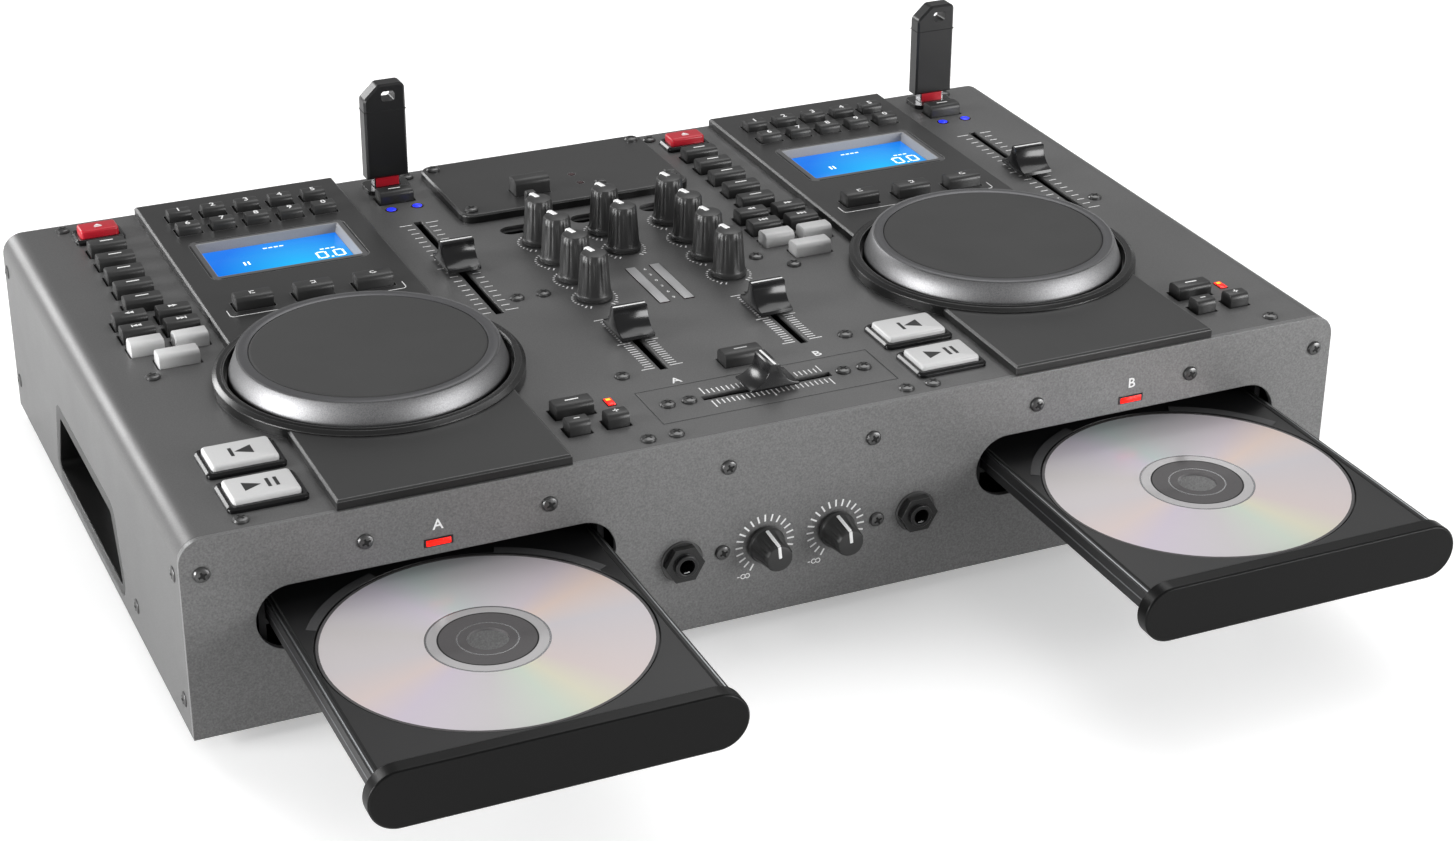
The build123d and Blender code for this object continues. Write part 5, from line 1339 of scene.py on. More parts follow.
@dataclass
class DeckKeys:
    """The small keys of one deck and their signs."""

    side: Side
    number_w: float = 10.8
    number_d: float = 8.0
    number_h: float = 8.0
    number_pitch_x: float = 15.1
    number_pitch_y: float = 16.0
    number_y: float = 269.0
    key_d: float = 9.0
    long_w: float = 16.4
    short_w: float = 14.4
    wide_w: float = 17.4
    key_h: float = 5.5
    plate_t: float = 4.0
    column_x: float = -65.4
    column_y: float = 231.0
    column_pitch: float = 15.5
    loop_pitch: float = 25.5
    loop_y: float = 176.4
    crown: float = 2.2
    foot: float = -3.2
    inset: float = 0.4
    digit_h: float = 4.8
    sign_h: float = 2.6
    pair_x: float = 9.0
    wide_y: float = 144.2
    source_place: Point = (65.5, 269.5)
    pitch_place: Point = (60.2, 40.9)
    step_place: Point = (64.2, 25.6)
    step_pitch: float = 15.8
    step_w: float = 9.6
    step_d: float = 8.0

    def key(self, piece: Workpiece, x: float, y: float, width: float, depth: float, top: float,
            finish: Finish, z: float, sign: Sign = Sign.NONE, ink: Finish = WHITE_INK) -> None:
        """Add one key with its sign.

        Args:
            piece: the group it belongs to.
            x: centre.
            y: centre.
            width: key width.
            depth: key depth.
            top: height above the cover.
            finish: the key's finish.
            z: height of the cover.
            sign: the mark on its top.
            ink: the mark's ink.
        """
        inset = self.inset
        size = (width - 2 * inset, depth - inset, top - self.foot)
        piece.add(loaf((x, y, z + self.foot), size, self.crown), finish)
        Stamp(piece, ink).sign(sign, x, y, z + top, self.sign_h)

    def build(self, layout: Layout) -> None:
        """Make all keys of the deck as one piece.

        Args:
            layout: the shared places.
        """
        x0 = layout.deck_x[self.side]
        z = layout.top
        piece = Workpiece(f"key_tops_{self.side.value}")
        digits = "1234567890"
        for row in range(2):
            for column in range(5):
                x = x0 + self.number_pitch_x * (column - 2)
                y = layout.y(self.number_y - self.number_pitch_y * (row - 0.5))
                self.key(piece, x, y, self.number_w, self.number_d, self.number_h, KEY_SILICONE, z)
                digit = digits[row * 5 + column]
                Stamp(piece, WHITE_INK).text(digit, self.digit_h, x, y, z + self.number_h)
        for column, sign in enumerate((Sign.LOOP_START, Sign.LOOP_END, Sign.LOOP_AGAIN)):
            x = x0 + self.loop_pitch * (column - 1)
            top = self.plate_t + self.key_h
            self.key(piece, x, layout.y(self.loop_y), self.long_w, self.key_d, top, KEY_SILICONE, z, sign)
        left = x0 + self.column_x
        for row in range(5):
            y = layout.y(self.column_y + self.column_pitch * (row - 2))
            self.key(piece, left, y, self.long_w, self.key_d, self.key_h, KEY_SILICONE, z, Sign.DASH)
        height = self.key_h
        pairs = (
            (185.1, Sign.REWIND, Sign.FORWARD, KEY_SILICONE), (171.9, Sign.PREVIOUS, Sign.NEXT, KEY_SILICONE),
            (158.8, Sign.NONE, Sign.NONE, PALE_ABS),
        )
        for distance, low, high, finish in pairs:
            y = layout.y(distance)
            self.key(piece, left - self.pair_x, y, self.short_w, self.key_d, height, finish, z, low)
            self.key(piece, left + self.pair_x, y, self.short_w, self.key_d, height, finish, z, high)
        self.key(piece, left, layout.y(self.wide_y), self.wide_w, self.key_d, height, PALE_ABS, z)
        for dx, distance in (self.source_place, self.pitch_place):
            y = layout.y(distance)
            self.key(piece, x0 + dx, y, self.long_w, self.key_d, height, KEY_SILICONE, z, Sign.DASH)
        middle, y = x0 + self.step_place[0], layout.y(self.step_place[1])
        for way, sign in ((-1.0, Sign.MINUS), (1.0, Sign.PLUS)):
            x = middle + way * self.step_pitch / 2.0
            self.key(piece, x, y, self.step_w, self.step_d, height, KEY_SILICONE, z, sign)
        name = f"deck_keys_{self.side.value}"
        piece.finish(name, "key_rubber", [name])


@dataclass
class LargeButtons:
    """Eject, cue and play buttons of one deck."""

    side: Side
    corner: float = 1.6
    crown: float = 1.1

    def build(self, layout: Layout) -> None:
        """Make the three buttons.

        Args:
            layout: the shared places.
        """
        plans = (
            ("eject_button", RED_ABS, WHITE_INK, Sign.EJECT, 3.4, "red_plastic"),
            ("cue_button", PALE_ABS, DARK_INK, Sign.BACK_TO_START, 6.6, "grey_plastic"),
            ("play_button", PALE_ABS, DARK_INK, Sign.PLAY_PAUSE, 6.6, "grey_plastic"),
        )
        for stem, finish, ink, sign, size, slot in plans:
            node = f"{stem}_{self.side.value}"
            box = Box.of(node)
            width, depth = box.size.x - 2.0, box.size.y - 2.0
            piece = Workpiece(f"{stem}_cap_{self.side.value}")
            foot = (box.centre.x, box.centre.y, box.low.z)
            piece.add(pad(foot, (width, depth, box.size.z), self.corner, self.crown), finish)
            Stamp(piece, ink).sign(sign, box.centre.x, box.centre.y, box.high.z, size)
            piece.finish(node, slot, [node])


@dataclass
class Fader:
    """Fader cap: a saddle with a ridge across its middle and a white line on it."""

    node: str
    run: Run
    width: float = 14.5
    length: float = 21.0
    ridge: float = 4.6
    line: float = 0.9
    skirt: float = 1.4
    edge: float = 0.35

    def build(self, layout: Layout) -> None:
        """Make the cap and its stem.

        Args:
            layout: the shared places.
        """
        box = Box.of(self.node)
        x, y = box.centre.x, box.centre.y
        top, foot = box.high.z, layout.top + self.skirt
        half, crest = self.length / 2.0, self.ridge / 2.0
        reach = half + 0.6 - crest
        hollow = arc((half + 0.6, top - 0.5), reach, 180.0, 264.0, 10)
        right = [(crest - 0.5, top)] + hollow + [(half, foot + 0.5), (half - 0.4, foot)]
        outline = right + [(-a, b) for a, b in reversed(right)]
        piece = Workpiece(f"{self.node}_cap")
        cap = prism(outline, upright((x, y, 0.0)), self.width, self.edge, 2)
        stem = block((x, y, (box.low.z + top - 4.0) / 2.0), (4.0, 2.4, top - 4.0 - box.low.z), 0.1)
        mark = block((x, y, top + 0.02), (self.line, self.width - 0.6, 0.2), 0.05)
        for part, finish in ((cap, CAP_ABS), (stem, CASE_ABS), (mark, WHITE_INK)):
            if self.run is Run.ALONG:
                turned(part, 90.0, "Z", (x, y, 0.0))
            piece.add(part, finish)
        piece.finish(self.node, "knob_plastic", [self.node])


@dataclass
class Knob:
    """Fluted control knob with a white pointer over its rim."""

    node: str
    body_length: float
    facing_front: bool = False
    point: float = 0.0
    mark_w: float = 2.0
    mark_l: float = 2.6
    lift: float = 0.8
    base_r: float = 7.6
    waist_r: float = 7.0
    top_r: float = 5.6
    flutes: int = 15
    flute_depth: float = 0.945
    steps: int = 60

    def build(self, layout: Layout) -> None:
        """Make the knob.

        Args:
            layout: the shared places.
        """
        box = Box.of(self.node)
        crest = self.lift + self.body_length
        profile = [
            (0, -8.0), (3.0, -8.0), (3.0, self.lift + 3.6), (5.2, self.lift + 3.6), (5.2, self.lift),
            (self.base_r, self.lift), (self.base_r, self.lift + 1.3), (self.base_r - 0.25, self.lift + 1.6),
            (self.waist_r + 0.1, self.lift + 1.9), (self.waist_r, self.lift + 2.4),
            (self.waist_r - 0.25, self.lift + 4.0), (self.top_r + 0.35, crest - 4.0),
            (self.top_r + 0.1, crest - 1.3), (self.top_r - 0.5, crest - 0.45),
            (self.top_r - 1.6, crest - 0.1), (0, crest),
        ]
        body = lathe(profile, (0, 0, 0), self.steps)
        spacing = self.steps // self.flutes
        grooves = []
        for vert in body.verts:
            step = round(math.degrees(math.atan2(vert.co.y, vert.co.x)) / 360.0 * self.steps) % spacing
            if step == 0 and self.lift + 3.5 < vert.co.z < crest - 0.9 and vert.co.xy.length > 3.5:
                grooves.append(vert)
        bmesh.ops.scale(body, vec=(self.flute_depth, self.flute_depth, 1.0), verts=grooves)
        pointer_top = block((0, self.top_r * 0.55, crest), (self.mark_w, self.top_r * 0.9, 0.55), 0.2)
        pointer_side = block((0, 0, 0), (self.mark_w, 0.7, self.mark_l), 0.2)
        lean = math.degrees(math.atan2(self.waist_r - self.top_r, self.body_length - 3.0))
        turned(pointer_side, lean, "X", (0, 0, 0))
        down = self.mark_l / 2.0 + 0.3
        middle = self.top_r + 0.1 + (self.waist_r - self.top_r) * down / (self.body_length - 3.0)
        bmesh.ops.translate(pointer_side, vec=(0, middle, crest - down), verts=pointer_side.verts[:])
        if self.facing_front:
            place = upright((box.centre.x, layout.front, box.centre.z))
        else:
            place = Matrix.Translation((box.centre.x, box.centre.y, layout.top))
        place = place @ Matrix.Rotation(math.radians(self.point), 4, "Z")
        piece = Workpiece(f"{self.node}_body")
        for part, finish in ((body, KNOB_ABS), (pointer_top, WHITE_INK), (pointer_side, WHITE_INK)):
            bmesh.ops.transform(part, matrix=place, verts=part.verts[:])
            piece.add(part, finish)
        piece.finish(self.node, "knob_plastic", [self.node])


@dataclass
class Lever:
    """Flat lever of a slide switch, flared at its foot."""

    node: str
    thickness: float = 3.0
    tip_w: float = 4.7
    foot_w: float = 7.4
    flare_h: float = 3.4
    edge: float = 0.35

    def build(self, layout: Layout) -> None:
        """Make the lever.

        Args:
            layout: the shared places.
        """
        box = Box.of(self.node)
        top = box.high.z
        foot = layout.top - 1.5
        half, wide = self.tip_w / 2.0, self.foot_w / 2.0
        right = [(half, box.low.z), (half, foot - 0.1), (wide, foot), (wide - 0.3, foot + 1.2)]
        right += [(half + 0.3, foot + self.flare_h - 0.6), (half, foot + self.flare_h + 0.6)]
        right += arc((half - 1.2, top - 1.2), 1.2, 0.0, 90.0, 4)
        outline = right + [(-a, b) for a, b in reversed(right)]
        piece = Workpiece(f"{self.node}_lever")
        plane = upright((box.centre.x, box.centre.y, 0.0))
        piece.add(prism(outline, plane, self.thickness, self.edge, 2), KNOB_ABS)
        piece.finish(self.node, "knob_plastic", [self.node])


@dataclass
class SmallKey:
    """A single key on its own body, such as the fader start key."""

    node: str
    sign: Sign
    crown: float = 2.6
    sign_h: float = 2.6

    def build(self) -> None:
        """Make the key."""
        box = Box.of(self.node)
        width, depth = box.size.x - 2.0, box.size.y - 2.0
        piece = Workpiece(f"{self.node}_top")
        foot = (box.centre.x, box.centre.y, box.low.z)
        piece.add(loaf(foot, (width, depth, box.size.z), self.crown), KEY_SILICONE)
        Stamp(piece, GREY_INK).sign(self.sign, box.centre.x, box.centre.y, box.high.z, self.sign_h)
        piece.finish(self.node, "key_rubber", [self.node])


@dataclass
class Tray:
    """Disc tray with its well edges and rails, the fascia and the disc on it."""

    side: Side
    nodes: dict
    well_r: float = 60.6
    step_r: float = 66.0
    disc_r: float = 60.0
    hole_r: float = 7.5
    disc_steps: int = 96

    def build(self) -> None:
        """Make the tray's trim and the disc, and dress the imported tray."""
        name = self.side.value
        dress(self.nodes, f"tray_{name}", CASE_ABS)
        dress(self.nodes, f"tray_front_{name}", FASCIA_ABS)
        tray = Box.of(f"tray_{name}")
        disc = Box.of(f"disc_{name}")
        centre = (disc.centre.x, disc.centre.y, 0.0)
        top = tray.high.z
        trim = Workpiece(f"tray_trim_{name}")
        for start in (28.0, 112.0):
            rise = [
                (self.well_r + 0.1, top - 0.3), (self.step_r - 1.5, top - 0.3),
                (self.step_r - 1.5, top + 0.25), (self.well_r + 3.0, top + 0.35),
                (self.well_r + 0.1, top + 0.05),
            ]
            trim.add(lathe(rise, centre, 20, 40.0, start), WELL_ABS)
        middle, length = tray.centre.y, tray.size.y - 2.0
        for way in (-1.0, 1.0):
            edge = tray.centre.x + way * (tray.size.x / 2.0 - 1.0)
            trim.add(block((edge, middle, top + 0.1), (0.55, length, 0.3), 0.08), FRAME_STEEL)
            trim.add(block((edge - way * 1.7, middle, top + 0.05), (0.8, length, 0.2)), RECESS_BLACK)
            trim.add(block((edge + way * 0.95, middle, tray.centre.z), (0.3, length, 0.6)), FRAME_STEEL)
        trim.finish(f"tray_{name}", "case_plastic")
        self.disc(disc, centre)

    def disc(self, box: Box, centre: Point3) -> None:
        """Make the disc: clear hub, mirror band, data film and clear rim.

        Args:
            box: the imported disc's box.
            centre: a point on the disc's axis.
        """
        name = self.side.value
        low, high = box.low.z, box.high.z
        film = DiscFilm(f"disc_film_{name}", centre)
        piece = Workpiece(f"disc_face_{name}")
        bands = (
            (self.hole_r, 10.6, HUB_PLASTIC), (10.6, 11.2, BRIGHT_STEEL), (11.2, 17.4, HUB_PLASTIC),
            (17.4, 18.0, RECESS_BLACK), (18.0, 21.6, HUB_MIRROR), (21.6, 22.4, BRIGHT_STEEL),
            (22.4, self.disc_r - 1.1, film), (self.disc_r - 1.1, self.disc_r, HUB_PLASTIC),
        )
        for inner, outer, finish in bands:
            ring = [(inner, low), (outer, low), (outer, high), (inner, high)]
            piece.add(lathe(ring, centre, self.disc_steps), finish)
        node = f"disc_{name}"
        piece.finish(node, "disc_film", [node])


@dataclass
class MemoryStick:
    """Memory stick standing in its socket: dressed body, bright plug and a seam."""

    side: Side
    nodes: dict
    plug_w: float = 12.0
    plug_t: float = 4.5
    shell_t: float = 0.14
    seam_drop: float = 12.3

    def build(self, layout: Layout) -> None:
        """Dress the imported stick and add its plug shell.

        Args:
            layout: the shared places.
        """
        node = f"memory_stick_{self.side.value}"
        dress(self.nodes, node, STICK_ABS)
        box = Box.of(node)
        x, y = box.centre.x, box.centre.y
        shell_low, shell_high = layout.top + 2.05, layout.top + 6.5
        middle, height = (shell_low + shell_high) / 2.0, shell_high - shell_low
        piece = Workpiece(f"{node}_plug")
        face = y - self.plug_t / 2.0
        piece.add(block((x, face - 0.02, middle), (self.plug_w - 1.2, 0.12, height)), RED_ABS)
        half, shell = self.plug_w / 2.0, self.shell_t
        for way in (-1.0, 1.0):
            piece.add(block((x + way * half, y, middle), (shell, self.plug_t, height)), BRIGHT_STEEL)
            piece.add(block((x + way * (half - 0.4), face, middle), (0.7, shell, height)), BRIGHT_STEEL)
        piece.add(block((x, y + self.plug_t / 2.0, middle), (self.plug_w, shell, height)), BRIGHT_STEEL)
        seam = box.high.z - self.seam_drop
        around = (box.size.x + 0.16, box.size.y + 0.16, 0.35)
        piece.add(block((x, y, seam), around, 0.05), RECESS_BLACK)
        piece.finish(node, "gloss_black")


@dataclass
class FrontSockets:
    """Washers, bores and contacts of the front jacks, whose nuts are packed."""

    x: float = 50.0
    z: float = 37.0
    washer_r: float = 8.6
    hole_r: float = 5.2
    steps: int = 32

    def build(self, layout: Layout) -> None:
        """Make the trim of both jacks.

        Args:
            layout: the shared places.
        """
        piece = Workpiece("jack_trim")
        for way in (-1.0, 1.0):
            place = upright((way * self.x, layout.front, self.z))
            ring = [
                (self.hole_r, 0.0), (self.washer_r, 0.0), (self.washer_r, 0.5), (self.washer_r - 0.4, 0.9),
                (self.hole_r, 0.9),
            ]
            washer = lathe(ring, (0, 0, 0), self.steps)
            tube = [(3.25, 4.0), (4.7, 4.0), (4.7, 5.3), (4.4, 5.66), (3.4, 5.66), (3.25, 5.5)]
            bore = lathe(tube, (0, 0, 0), self.steps)
            contact = block((0, -2.5, 4.6), (2.4, 0.5, 1.2), 0.1)
            for part, finish in ((washer, SCREW_STEEL), (bore, CASE_ABS), (contact, BRIGHT_STEEL)):
                bmesh.ops.transform(part, matrix=place, verts=part.verts[:])
                piece.add(part, finish)
        piece.finish("chassis", "chrome")


@dataclass
class Lamps:
    """Lit lenses, meter bars and front lamps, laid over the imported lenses."""

    def build(self, layout: Layout) -> None:
        """Make the lit faces.

        Args:
            layout: the shared places.
        """
        piece = Workpiece("lit_lenses")
        z = layout.top + 0.2
        for way in (-1.0, 1.0):
            piece.add(block((way * 5.5, layout.y(138.4), z), (4.3, 37.6, 0.3), 0.1), METER_ABS)
        for side in Side:
            x = layout.deck_x[side]
            for way in (-1.0, 1.0):
                dot = lathe([(0, 0.0), (2.1, 0.0), (2.1, 0.1), (1.5, 0.3), (0, 0.4)],
                            (x + 66.4 + way * 6.0, layout.y(258.5), z - 0.05), 20)
                piece.add(dot, BLUE_LENS)
            piece.add(block((x + 76.5, layout.y(42.8), z + 0.1), (3.0, 5.8, 0.5), 0.15), RED_LENS)
            piece.add(block((x + 76.5, layout.y(44.4), z + 0.36), (1.8, 1.6, 0.06)), AMBER_LENS)
            bar = block((layout.tray_x[side], layout.front - 0.25, 67.0), (9.4, 0.5, 2.3), 0.18)
            piece.add(bar, RED_LENS)
        for way in (-1.0, 1.0):
            eye = lathe([(0, 0), (1.3, 0), (1.3, 0.1), (0, 0.25)],
                        (7.4, layout.y(251.8 + way * 5.3), layout.plate_top), 16)
            piece.add(eye, UNLIT_LENS)
        piece.finish("chassis", "lens_red")


@dataclass
class Printing:
    """White scales, digits and lines printed on the panels, and the painted shade round the crossfader plate.
    """

    tick: float = 0.5
    tick_gap: float = 3.2
    long_tick: float = 5.6
    short_tick: float = 3.6
    knob_rows: float = 21.2
    knob_first_y: float = 199.0
    channel_x: float = 30.4
    cross_y: float = 31.8
    seam_w: float = 99.4
    seam_d: float = 28.6
    front_x: float = 15.1
    front_z: float = 37.0

    def build(self, layout: Layout) -> None:
        """Print the top and the front.

        Args:
            layout: the shared places.
        """
        top = Workpiece("top_print")
        stamp = Stamp(top)
        for side in Side:
            x = layout.deck_x[side] + 66.4
            self.fader_scale(stamp, x, layout.y(188.5), layout.top, 100.0, 20, Run.ALONG)
            self.bracket(stamp, layout.deck_x[side], layout)
        for way in (-1.0, 1.0):
            self.fader_scale(stamp, way * 30.5, layout.y(89.0), layout.top, 50.0, 24, Run.ALONG)
            for row in range(4):
                y = layout.y(self.knob_first_y - self.knob_rows * row)
                self.knob_scale(stamp, way * self.channel_x, y, layout.top)
        for row in range(2):
            y = layout.y(self.knob_first_y - self.knob_rows * row)
            self.knob_scale(stamp, 0.0, y, layout.top)
        self.fader_scale(stamp, 0.0, layout.y(self.cross_y), layout.top, 50.0, 24, Run.ACROSS)
        for letter, x in (("A", -30.5), ("B", 30.5)):
            stamp.text(letter, 6.2, x, layout.y(50.4), layout.top)
        for step, mark in enumerate(("6", "3", "0", "3", "6", "9")):
            stamp.text(mark, 2.6, 0.0, layout.y(154.0 - 6.2 * step), layout.top)
        # A dark line round the crossfader plate: painted shade in the seam.
        edge = Stamp(top, SEAM_SHADE)
        for way in (-1.0, 1.0):
            y = layout.y(self.cross_y + way * self.seam_d / 2.0)
            edge.bar(0.0, y, layout.top, self.seam_w, 0.3)
            edge.bar(way * self.seam_w / 2.0, layout.y(self.cross_y), layout.top, 0.3, self.seam_d)
        top.finish("chassis", "cover_paint")
        front = Workpiece("front_print")
        self.front_scales(front, layout)
        front.finish("chassis", "panel_paint")

    def fader_scale(
        self, stamp: Stamp, x: float, y: float, z: float, travel: float, spans: int, run: Run
    ) -> None:
        """Print ticks on both sides of a fader slot.

        Args:
            stamp: the ink.
            x: slot centre.
            y: slot centre.
            z: panel height.
            travel: fader travel.
            spans: spaces between ticks.
            run: the way the fader travels.
        """
        for step in range(spans + 1):
            at = travel * (step / spans - 0.5)
            major = step in (0, spans // 2, spans)
            length = self.long_tick if major else self.short_tick
            for way in (-1.0, 1.0):
                off = way * (self.tick_gap + length / 2.0)
                if run is Run.ALONG:
                    stamp.bar(x + off, y + at, z, length, self.tick)
                else:
                    stamp.bar(x + at, y + off, z, self.tick, length)

    def knob_scale(self, stamp: Stamp, x: float, y: float, z: float) -> None:
        """Print the dots round a knob, with a longer tick at each end.

        Args:
            stamp: the ink.
            x: knob centre.
            y: knob centre.
            z: panel height.
        """
        for step in range(25):
            turn = -60.0 + 12.5 * step
            angle = math.radians(turn)
            length = 2.0 if step in (0, 1, 12, 23, 24) else 0.9
            r = 8.8 + length / 2.0
            stamp.bar(x + r * math.cos(angle), y + r * math.sin(angle), z, length, 0.6, turn)

    def bracket(self, stamp: Stamp, x: float, layout: Layout) -> None:
        """Print the line that joins the three loop keys.

        Args:
            stamp: the ink.
            x: deck centre.
            layout: the shared places.
        """
        z = layout.plate_top
        y = layout.y(167.4)
        stamp.bar(x, y, z, 71.0, 0.4)
        for way in (-1.0, 1.0):
            stamp.bar(x + way * 37.2, y + 4.2, z, 0.4, 5.0)
            corner = lathe([(1.6, -PRINT_SINK), (2.0, -PRINT_SINK), (2.0, PRINT_RISE), (1.6, PRINT_RISE)],
                           (x + way * 35.4, y + 1.8, z), 6, 90.0, 180.0 if way < 0 else 270.0)
            stamp.target.add(corner, stamp.ink)

    def front_scales(self, front: Workpiece, layout: Layout) -> None:
        """Print the knob scales and deck letters on the front.

        Args:
            front: the piece that carries the print.
            layout: the shared places.
        """
        face = layout.front - PRINT_MID
        length = 3.0
        for way in (-1.0, 1.0):
            place = upright((way * self.front_x, face, self.front_z))
            for step in range(21):
                part = block((9.4 + length / 2.0, 0, 0), (length, 0.7, PRINT_T))
                turned(part, -60.0 + 15.0 * step, "Z", (0, 0, 0))
                bmesh.ops.transform(part, matrix=place, verts=part.verts[:])
                front.add(part, WHITE_INK)
            self.endless(front, layout, way * self.front_x - 8.2, 24.2)
        for letter, side in (("A", Side.A), ("B", Side.B)):
            front.lettering(letter, 6.0, upright((layout.tray_x[side], face, 74.0)), WHITE_INK)

    def endless(self, front: Workpiece, layout: Layout, x: float, z: float) -> None:
        """Print a minus and an endless sign under the low end of a front scale.

        Args:
            front: the piece that carries the print.
            layout: the shared places.
            x: the sign's middle.
            z: its height.
        """
        place = upright((x, layout.front - PRINT_MID, z))
        parts = [block((-2.9, 0, 0), (1.0, 0.35, PRINT_T))]
        for way in (-1.0, 1.0):
            parts.append(
                lathe([(0.75, -PRINT_SINK), (1.1, -PRINT_SINK), (1.1, PRINT_SINK), (0.75, PRINT_SINK)],
                      (way * 0.92, 0, 0), 16)
            )
        for part in parts:
            bmesh.ops.transform(part, matrix=place, verts=part.verts[:])
            front.add(part, WHITE_INK)


@dataclass
class RearPanel:
    """Bright sleeves and coloured collars of the phono sockets."""

    pitch_x: float = 18.0
    pitch_z: float = 16.0
    first_x: float = 60.0
    z: float = 30.0
    steps: int = 24

    def build(self) -> None:
        """Make the trim of the rear sockets."""
        piece = Workpiece("rear_socket_trim")
        back = Box.of("sockets").high.y
        ring_colours = (RED_ABS, PALE_ABS)
        for column in range(6):
            for row, way in enumerate((-1.0, 1.0)):
                x = self.first_x + self.pitch_x * column
                place = upright((x, back, self.z + way * self.pitch_z / 2.0))
                tube = [(1.7, -0.1), (4.16, -0.1), (4.16, 6.5), (4.12, 6.5), (4.12, 0.02), (1.7, 0.02)]
                sleeve = lathe(tube, (0, 0, 0), self.steps)
                collar = lathe([(4.2, 7.2), (5.6, 7.2), (5.6, 8.6), (4.2, 8.6)], (0, 0, 0), self.steps)
                for part, finish in ((sleeve, BRIGHT_STEEL), (collar, ring_colours[row])):
                    bmesh.ops.transform(part, matrix=place, verts=part.verts[:])
                    piece.add(part, finish)
        piece.finish("chassis", "chrome")


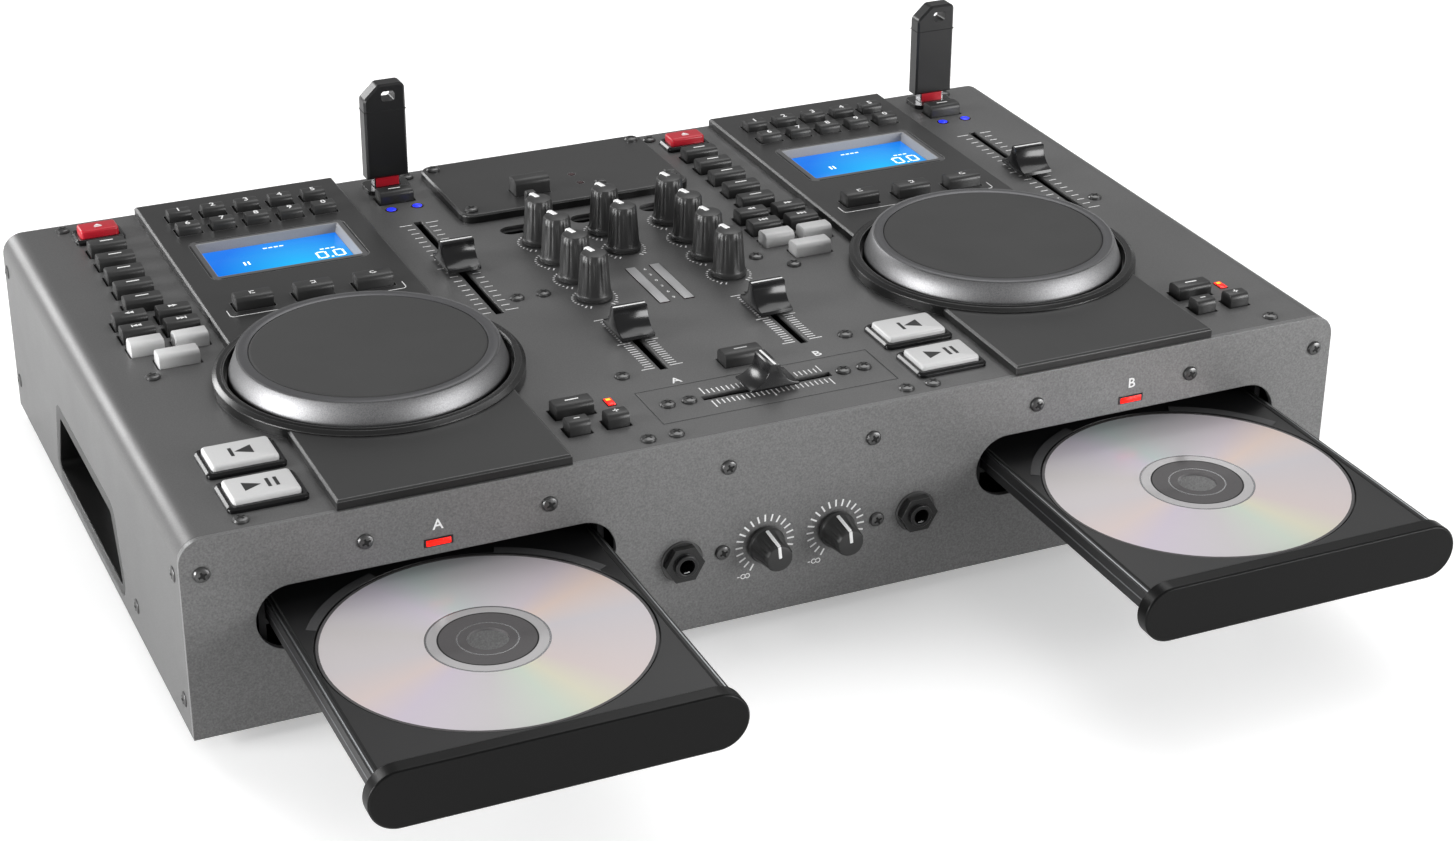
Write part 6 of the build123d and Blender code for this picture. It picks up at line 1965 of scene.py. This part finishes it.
@dataclass
class Studio:
    """White floor, soft lamps, pale surroundings and the camera."""

    camera_place: Point3 = (-0.42546, -1.01412, 0.57284)
    camera_way: Point3 = (0.37030, 0.81231, -0.45058)
    camera_roll: float = 0.449
    floor_size: float = 12.0
    floor_lift: float = 0.34

    def build(self) -> None:
        """Make the floor, world, lamps and camera."""
        self.floor()
        self.world()
        self.lamp("overhead_softbox", (0.7, 0.6, 1.7), (0.0, 0.0, 0.05), 1.5, 16.0)
        self.lamp("left_softbox", (-1.9, 0.0, 0.32), (-0.2, 0.0, 0.05), 0.9, 58.0)
        self.lamp("right_softbox", (1.5, -1.6, 0.42), (0.2, -0.1, 0.05), 1.2, 47.0)
        self.lamp("rear_rim_softbox", (-1.0, 1.9, 0.85), (-0.2, 0.0, 0.07), 0.7, 15.0)
        self.camera()

    def floor(self) -> None:
        """Make the pale floor that keeps a soft shadow."""
        material = bpy.data.materials.new("white_paper_floor")
        material.use_nodes = True
        tree = material.node_tree
        tree.nodes.clear()
        path = add_node(tree, "ShaderNodeLightPath")
        paper = add_node(tree, "ShaderNodeBsdfDiffuse", {"Color": linear("#f4f4f4")})
        lift = add_node(
            tree, "ShaderNodeMath", {1: self.floor_lift}, {0: path.outputs["Is Camera Ray"]},
            operation="MULTIPLY",
        )
        white = add_node(
            tree, "ShaderNodeEmission", {"Color": linear("#ffffff")}, {"Strength": lift.outputs["Value"]}
        )
        surface = add_node(
            tree, "ShaderNodeAddShader", None, {0: paper.outputs["BSDF"], 1: white.outputs["Emission"]}
        )
        add_node(tree, "ShaderNodeOutputMaterial", None, {"Surface": surface.outputs["Shader"]})
        work = bmesh.new()
        bmesh.ops.create_grid(work, x_segments=2, y_segments=2, size=self.floor_size)
        data = bpy.data.meshes.new("studio_floor")
        work.to_mesh(data)
        work.free()
        data.materials.append(material)
        floor = bpy.data.objects.new("studio_floor", data)
        bpy.context.scene.collection.objects.link(floor)

    def world(self) -> None:
        """Make pale surroundings: white to the camera, softer as light."""
        world = bpy.data.worlds.new("studio_surroundings")
        bpy.context.scene.world = world
        world.use_nodes = True
        tree = world.node_tree
        tree.nodes.clear()
        path = add_node(tree, "ShaderNodeLightPath")
        seen = add_node(
            tree, "ShaderNodeMath", None,
            {0: path.outputs["Is Camera Ray"], 1: path.outputs["Is Transmission Ray"]}, operation="MAXIMUM",
        )
        white = add_node(tree, "ShaderNodeBackground", {"Color": linear("#ffffff"), "Strength": 1.0})
        soft = add_node(tree, "ShaderNodeBackground", {"Color": linear("#f4f4f4"), "Strength": 0.36})
        surface = add_node(
            tree, "ShaderNodeMixShader", None,
            {"Fac": seen.outputs["Value"], 1: soft.outputs["Background"], 2: white.outputs["Background"]},
        )
        add_node(tree, "ShaderNodeOutputWorld", None, {"Surface": surface.outputs["Shader"]})

    def lamp(self, name: str, place: Point3, aim: Point3, size: float, power: float) -> None:
        """Hang one square softbox.

        Args:
            name: the lamp's name.
            place: where it hangs, in metres.
            aim: the point it looks at.
            size: its side in metres.
            power: watts.
        """
        light = bpy.data.lights.new(name, "AREA")
        light.shape = "SQUARE"
        light.size = size
        light.energy = power
        holder = bpy.data.objects.new(name, light)
        way = Vector(aim) - Vector(place)
        holder.matrix_world = Matrix.Translation(place) @ way.to_track_quat("-Z", "Y").to_matrix().to_4x4()
        bpy.context.scene.collection.objects.link(holder)

    def camera(self) -> None:
        """Set the camera to the photograph's viewing angle."""
        lens = bpy.data.cameras.new("camera")
        lens.sensor_width = SENSOR_WIDTH
        lens.lens = PHOTO_FOCAL / PHOTO_WIDTH * SENSOR_WIDTH
        holder = bpy.data.objects.new("camera", lens)
        way = Vector(self.camera_way).normalized()
        right = way.cross(Vector((0, 0, 1))).normalized()
        up = right.cross(way)
        level = Matrix((right, up, -way)).transposed().to_4x4()
        roll = Matrix.Rotation(math.radians(self.camera_roll), 4, "Z")
        holder.matrix_world = Matrix.Translation(self.camera_place) @ level @ roll
        bpy.context.scene.collection.objects.link(holder)
        bpy.context.scene.camera = holder


def control_knobs() -> list[Knob]:
    """Plan every knob.

    Returns:
        The mixer's knobs and the two on the front.
    """
    names = [f"{row}_knob_{side.value}" for row in ("gain", "high", "mid", "low") for side in Side]
    names += ["cue_mix_knob", "master_knob"]
    knobs = [Knob(name, 20.0, point=12.0) for name in names]
    knobs += [
        Knob(name, 13.5, facing_front=True, point=6.0, mark_w=1.3, mark_l=10.6)
        for name in ("mic_level_knob", "cue_level_knob")
    ]
    return knobs


def main() -> None:
    """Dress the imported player, add its fine pieces and set the studio."""
    logging.basicConfig(level=logging.INFO, format="%(name)s %(message)s")
    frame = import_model()
    nodes = frame["nodes"]
    layout = Layout.read()
    casing = Casing(nodes, layout)
    casing.dress()
    casing.build()
    for side in Side:
        JogWheel(side).build(layout)
        Display(side).build(layout)
        DeckKeys(side).build(layout)
        LargeButtons(side).build(layout)
        Tray(side, nodes).build()
        MemoryStick(side, nodes).build(layout)
        Fader(f"pitch_fader_{side.value}", Run.ALONG).build(layout)
        Fader(f"channel_fader_{side.value}", Run.ALONG).build(layout)
        Lever(f"source_switch_{side.value}").build(layout)
    Fader("crossfader", Run.ACROSS, skirt=2.0).build(layout)
    Lever("cue_switch").build(layout)
    for knob in control_knobs():
        knob.build(layout)
    SmallKey("wireless_link_key", Sign.NONE).build()
    SmallKey("fader_start_key", Sign.DASH).build()
    FrontSockets().build(layout)
    Lamps().build(layout)
    Printing().build(layout)
    RearPanel().build()
    Studio().build()
    bpy.context.scene.view_settings.view_transform = "Standard"


if __name__ == "__main__":
    main()
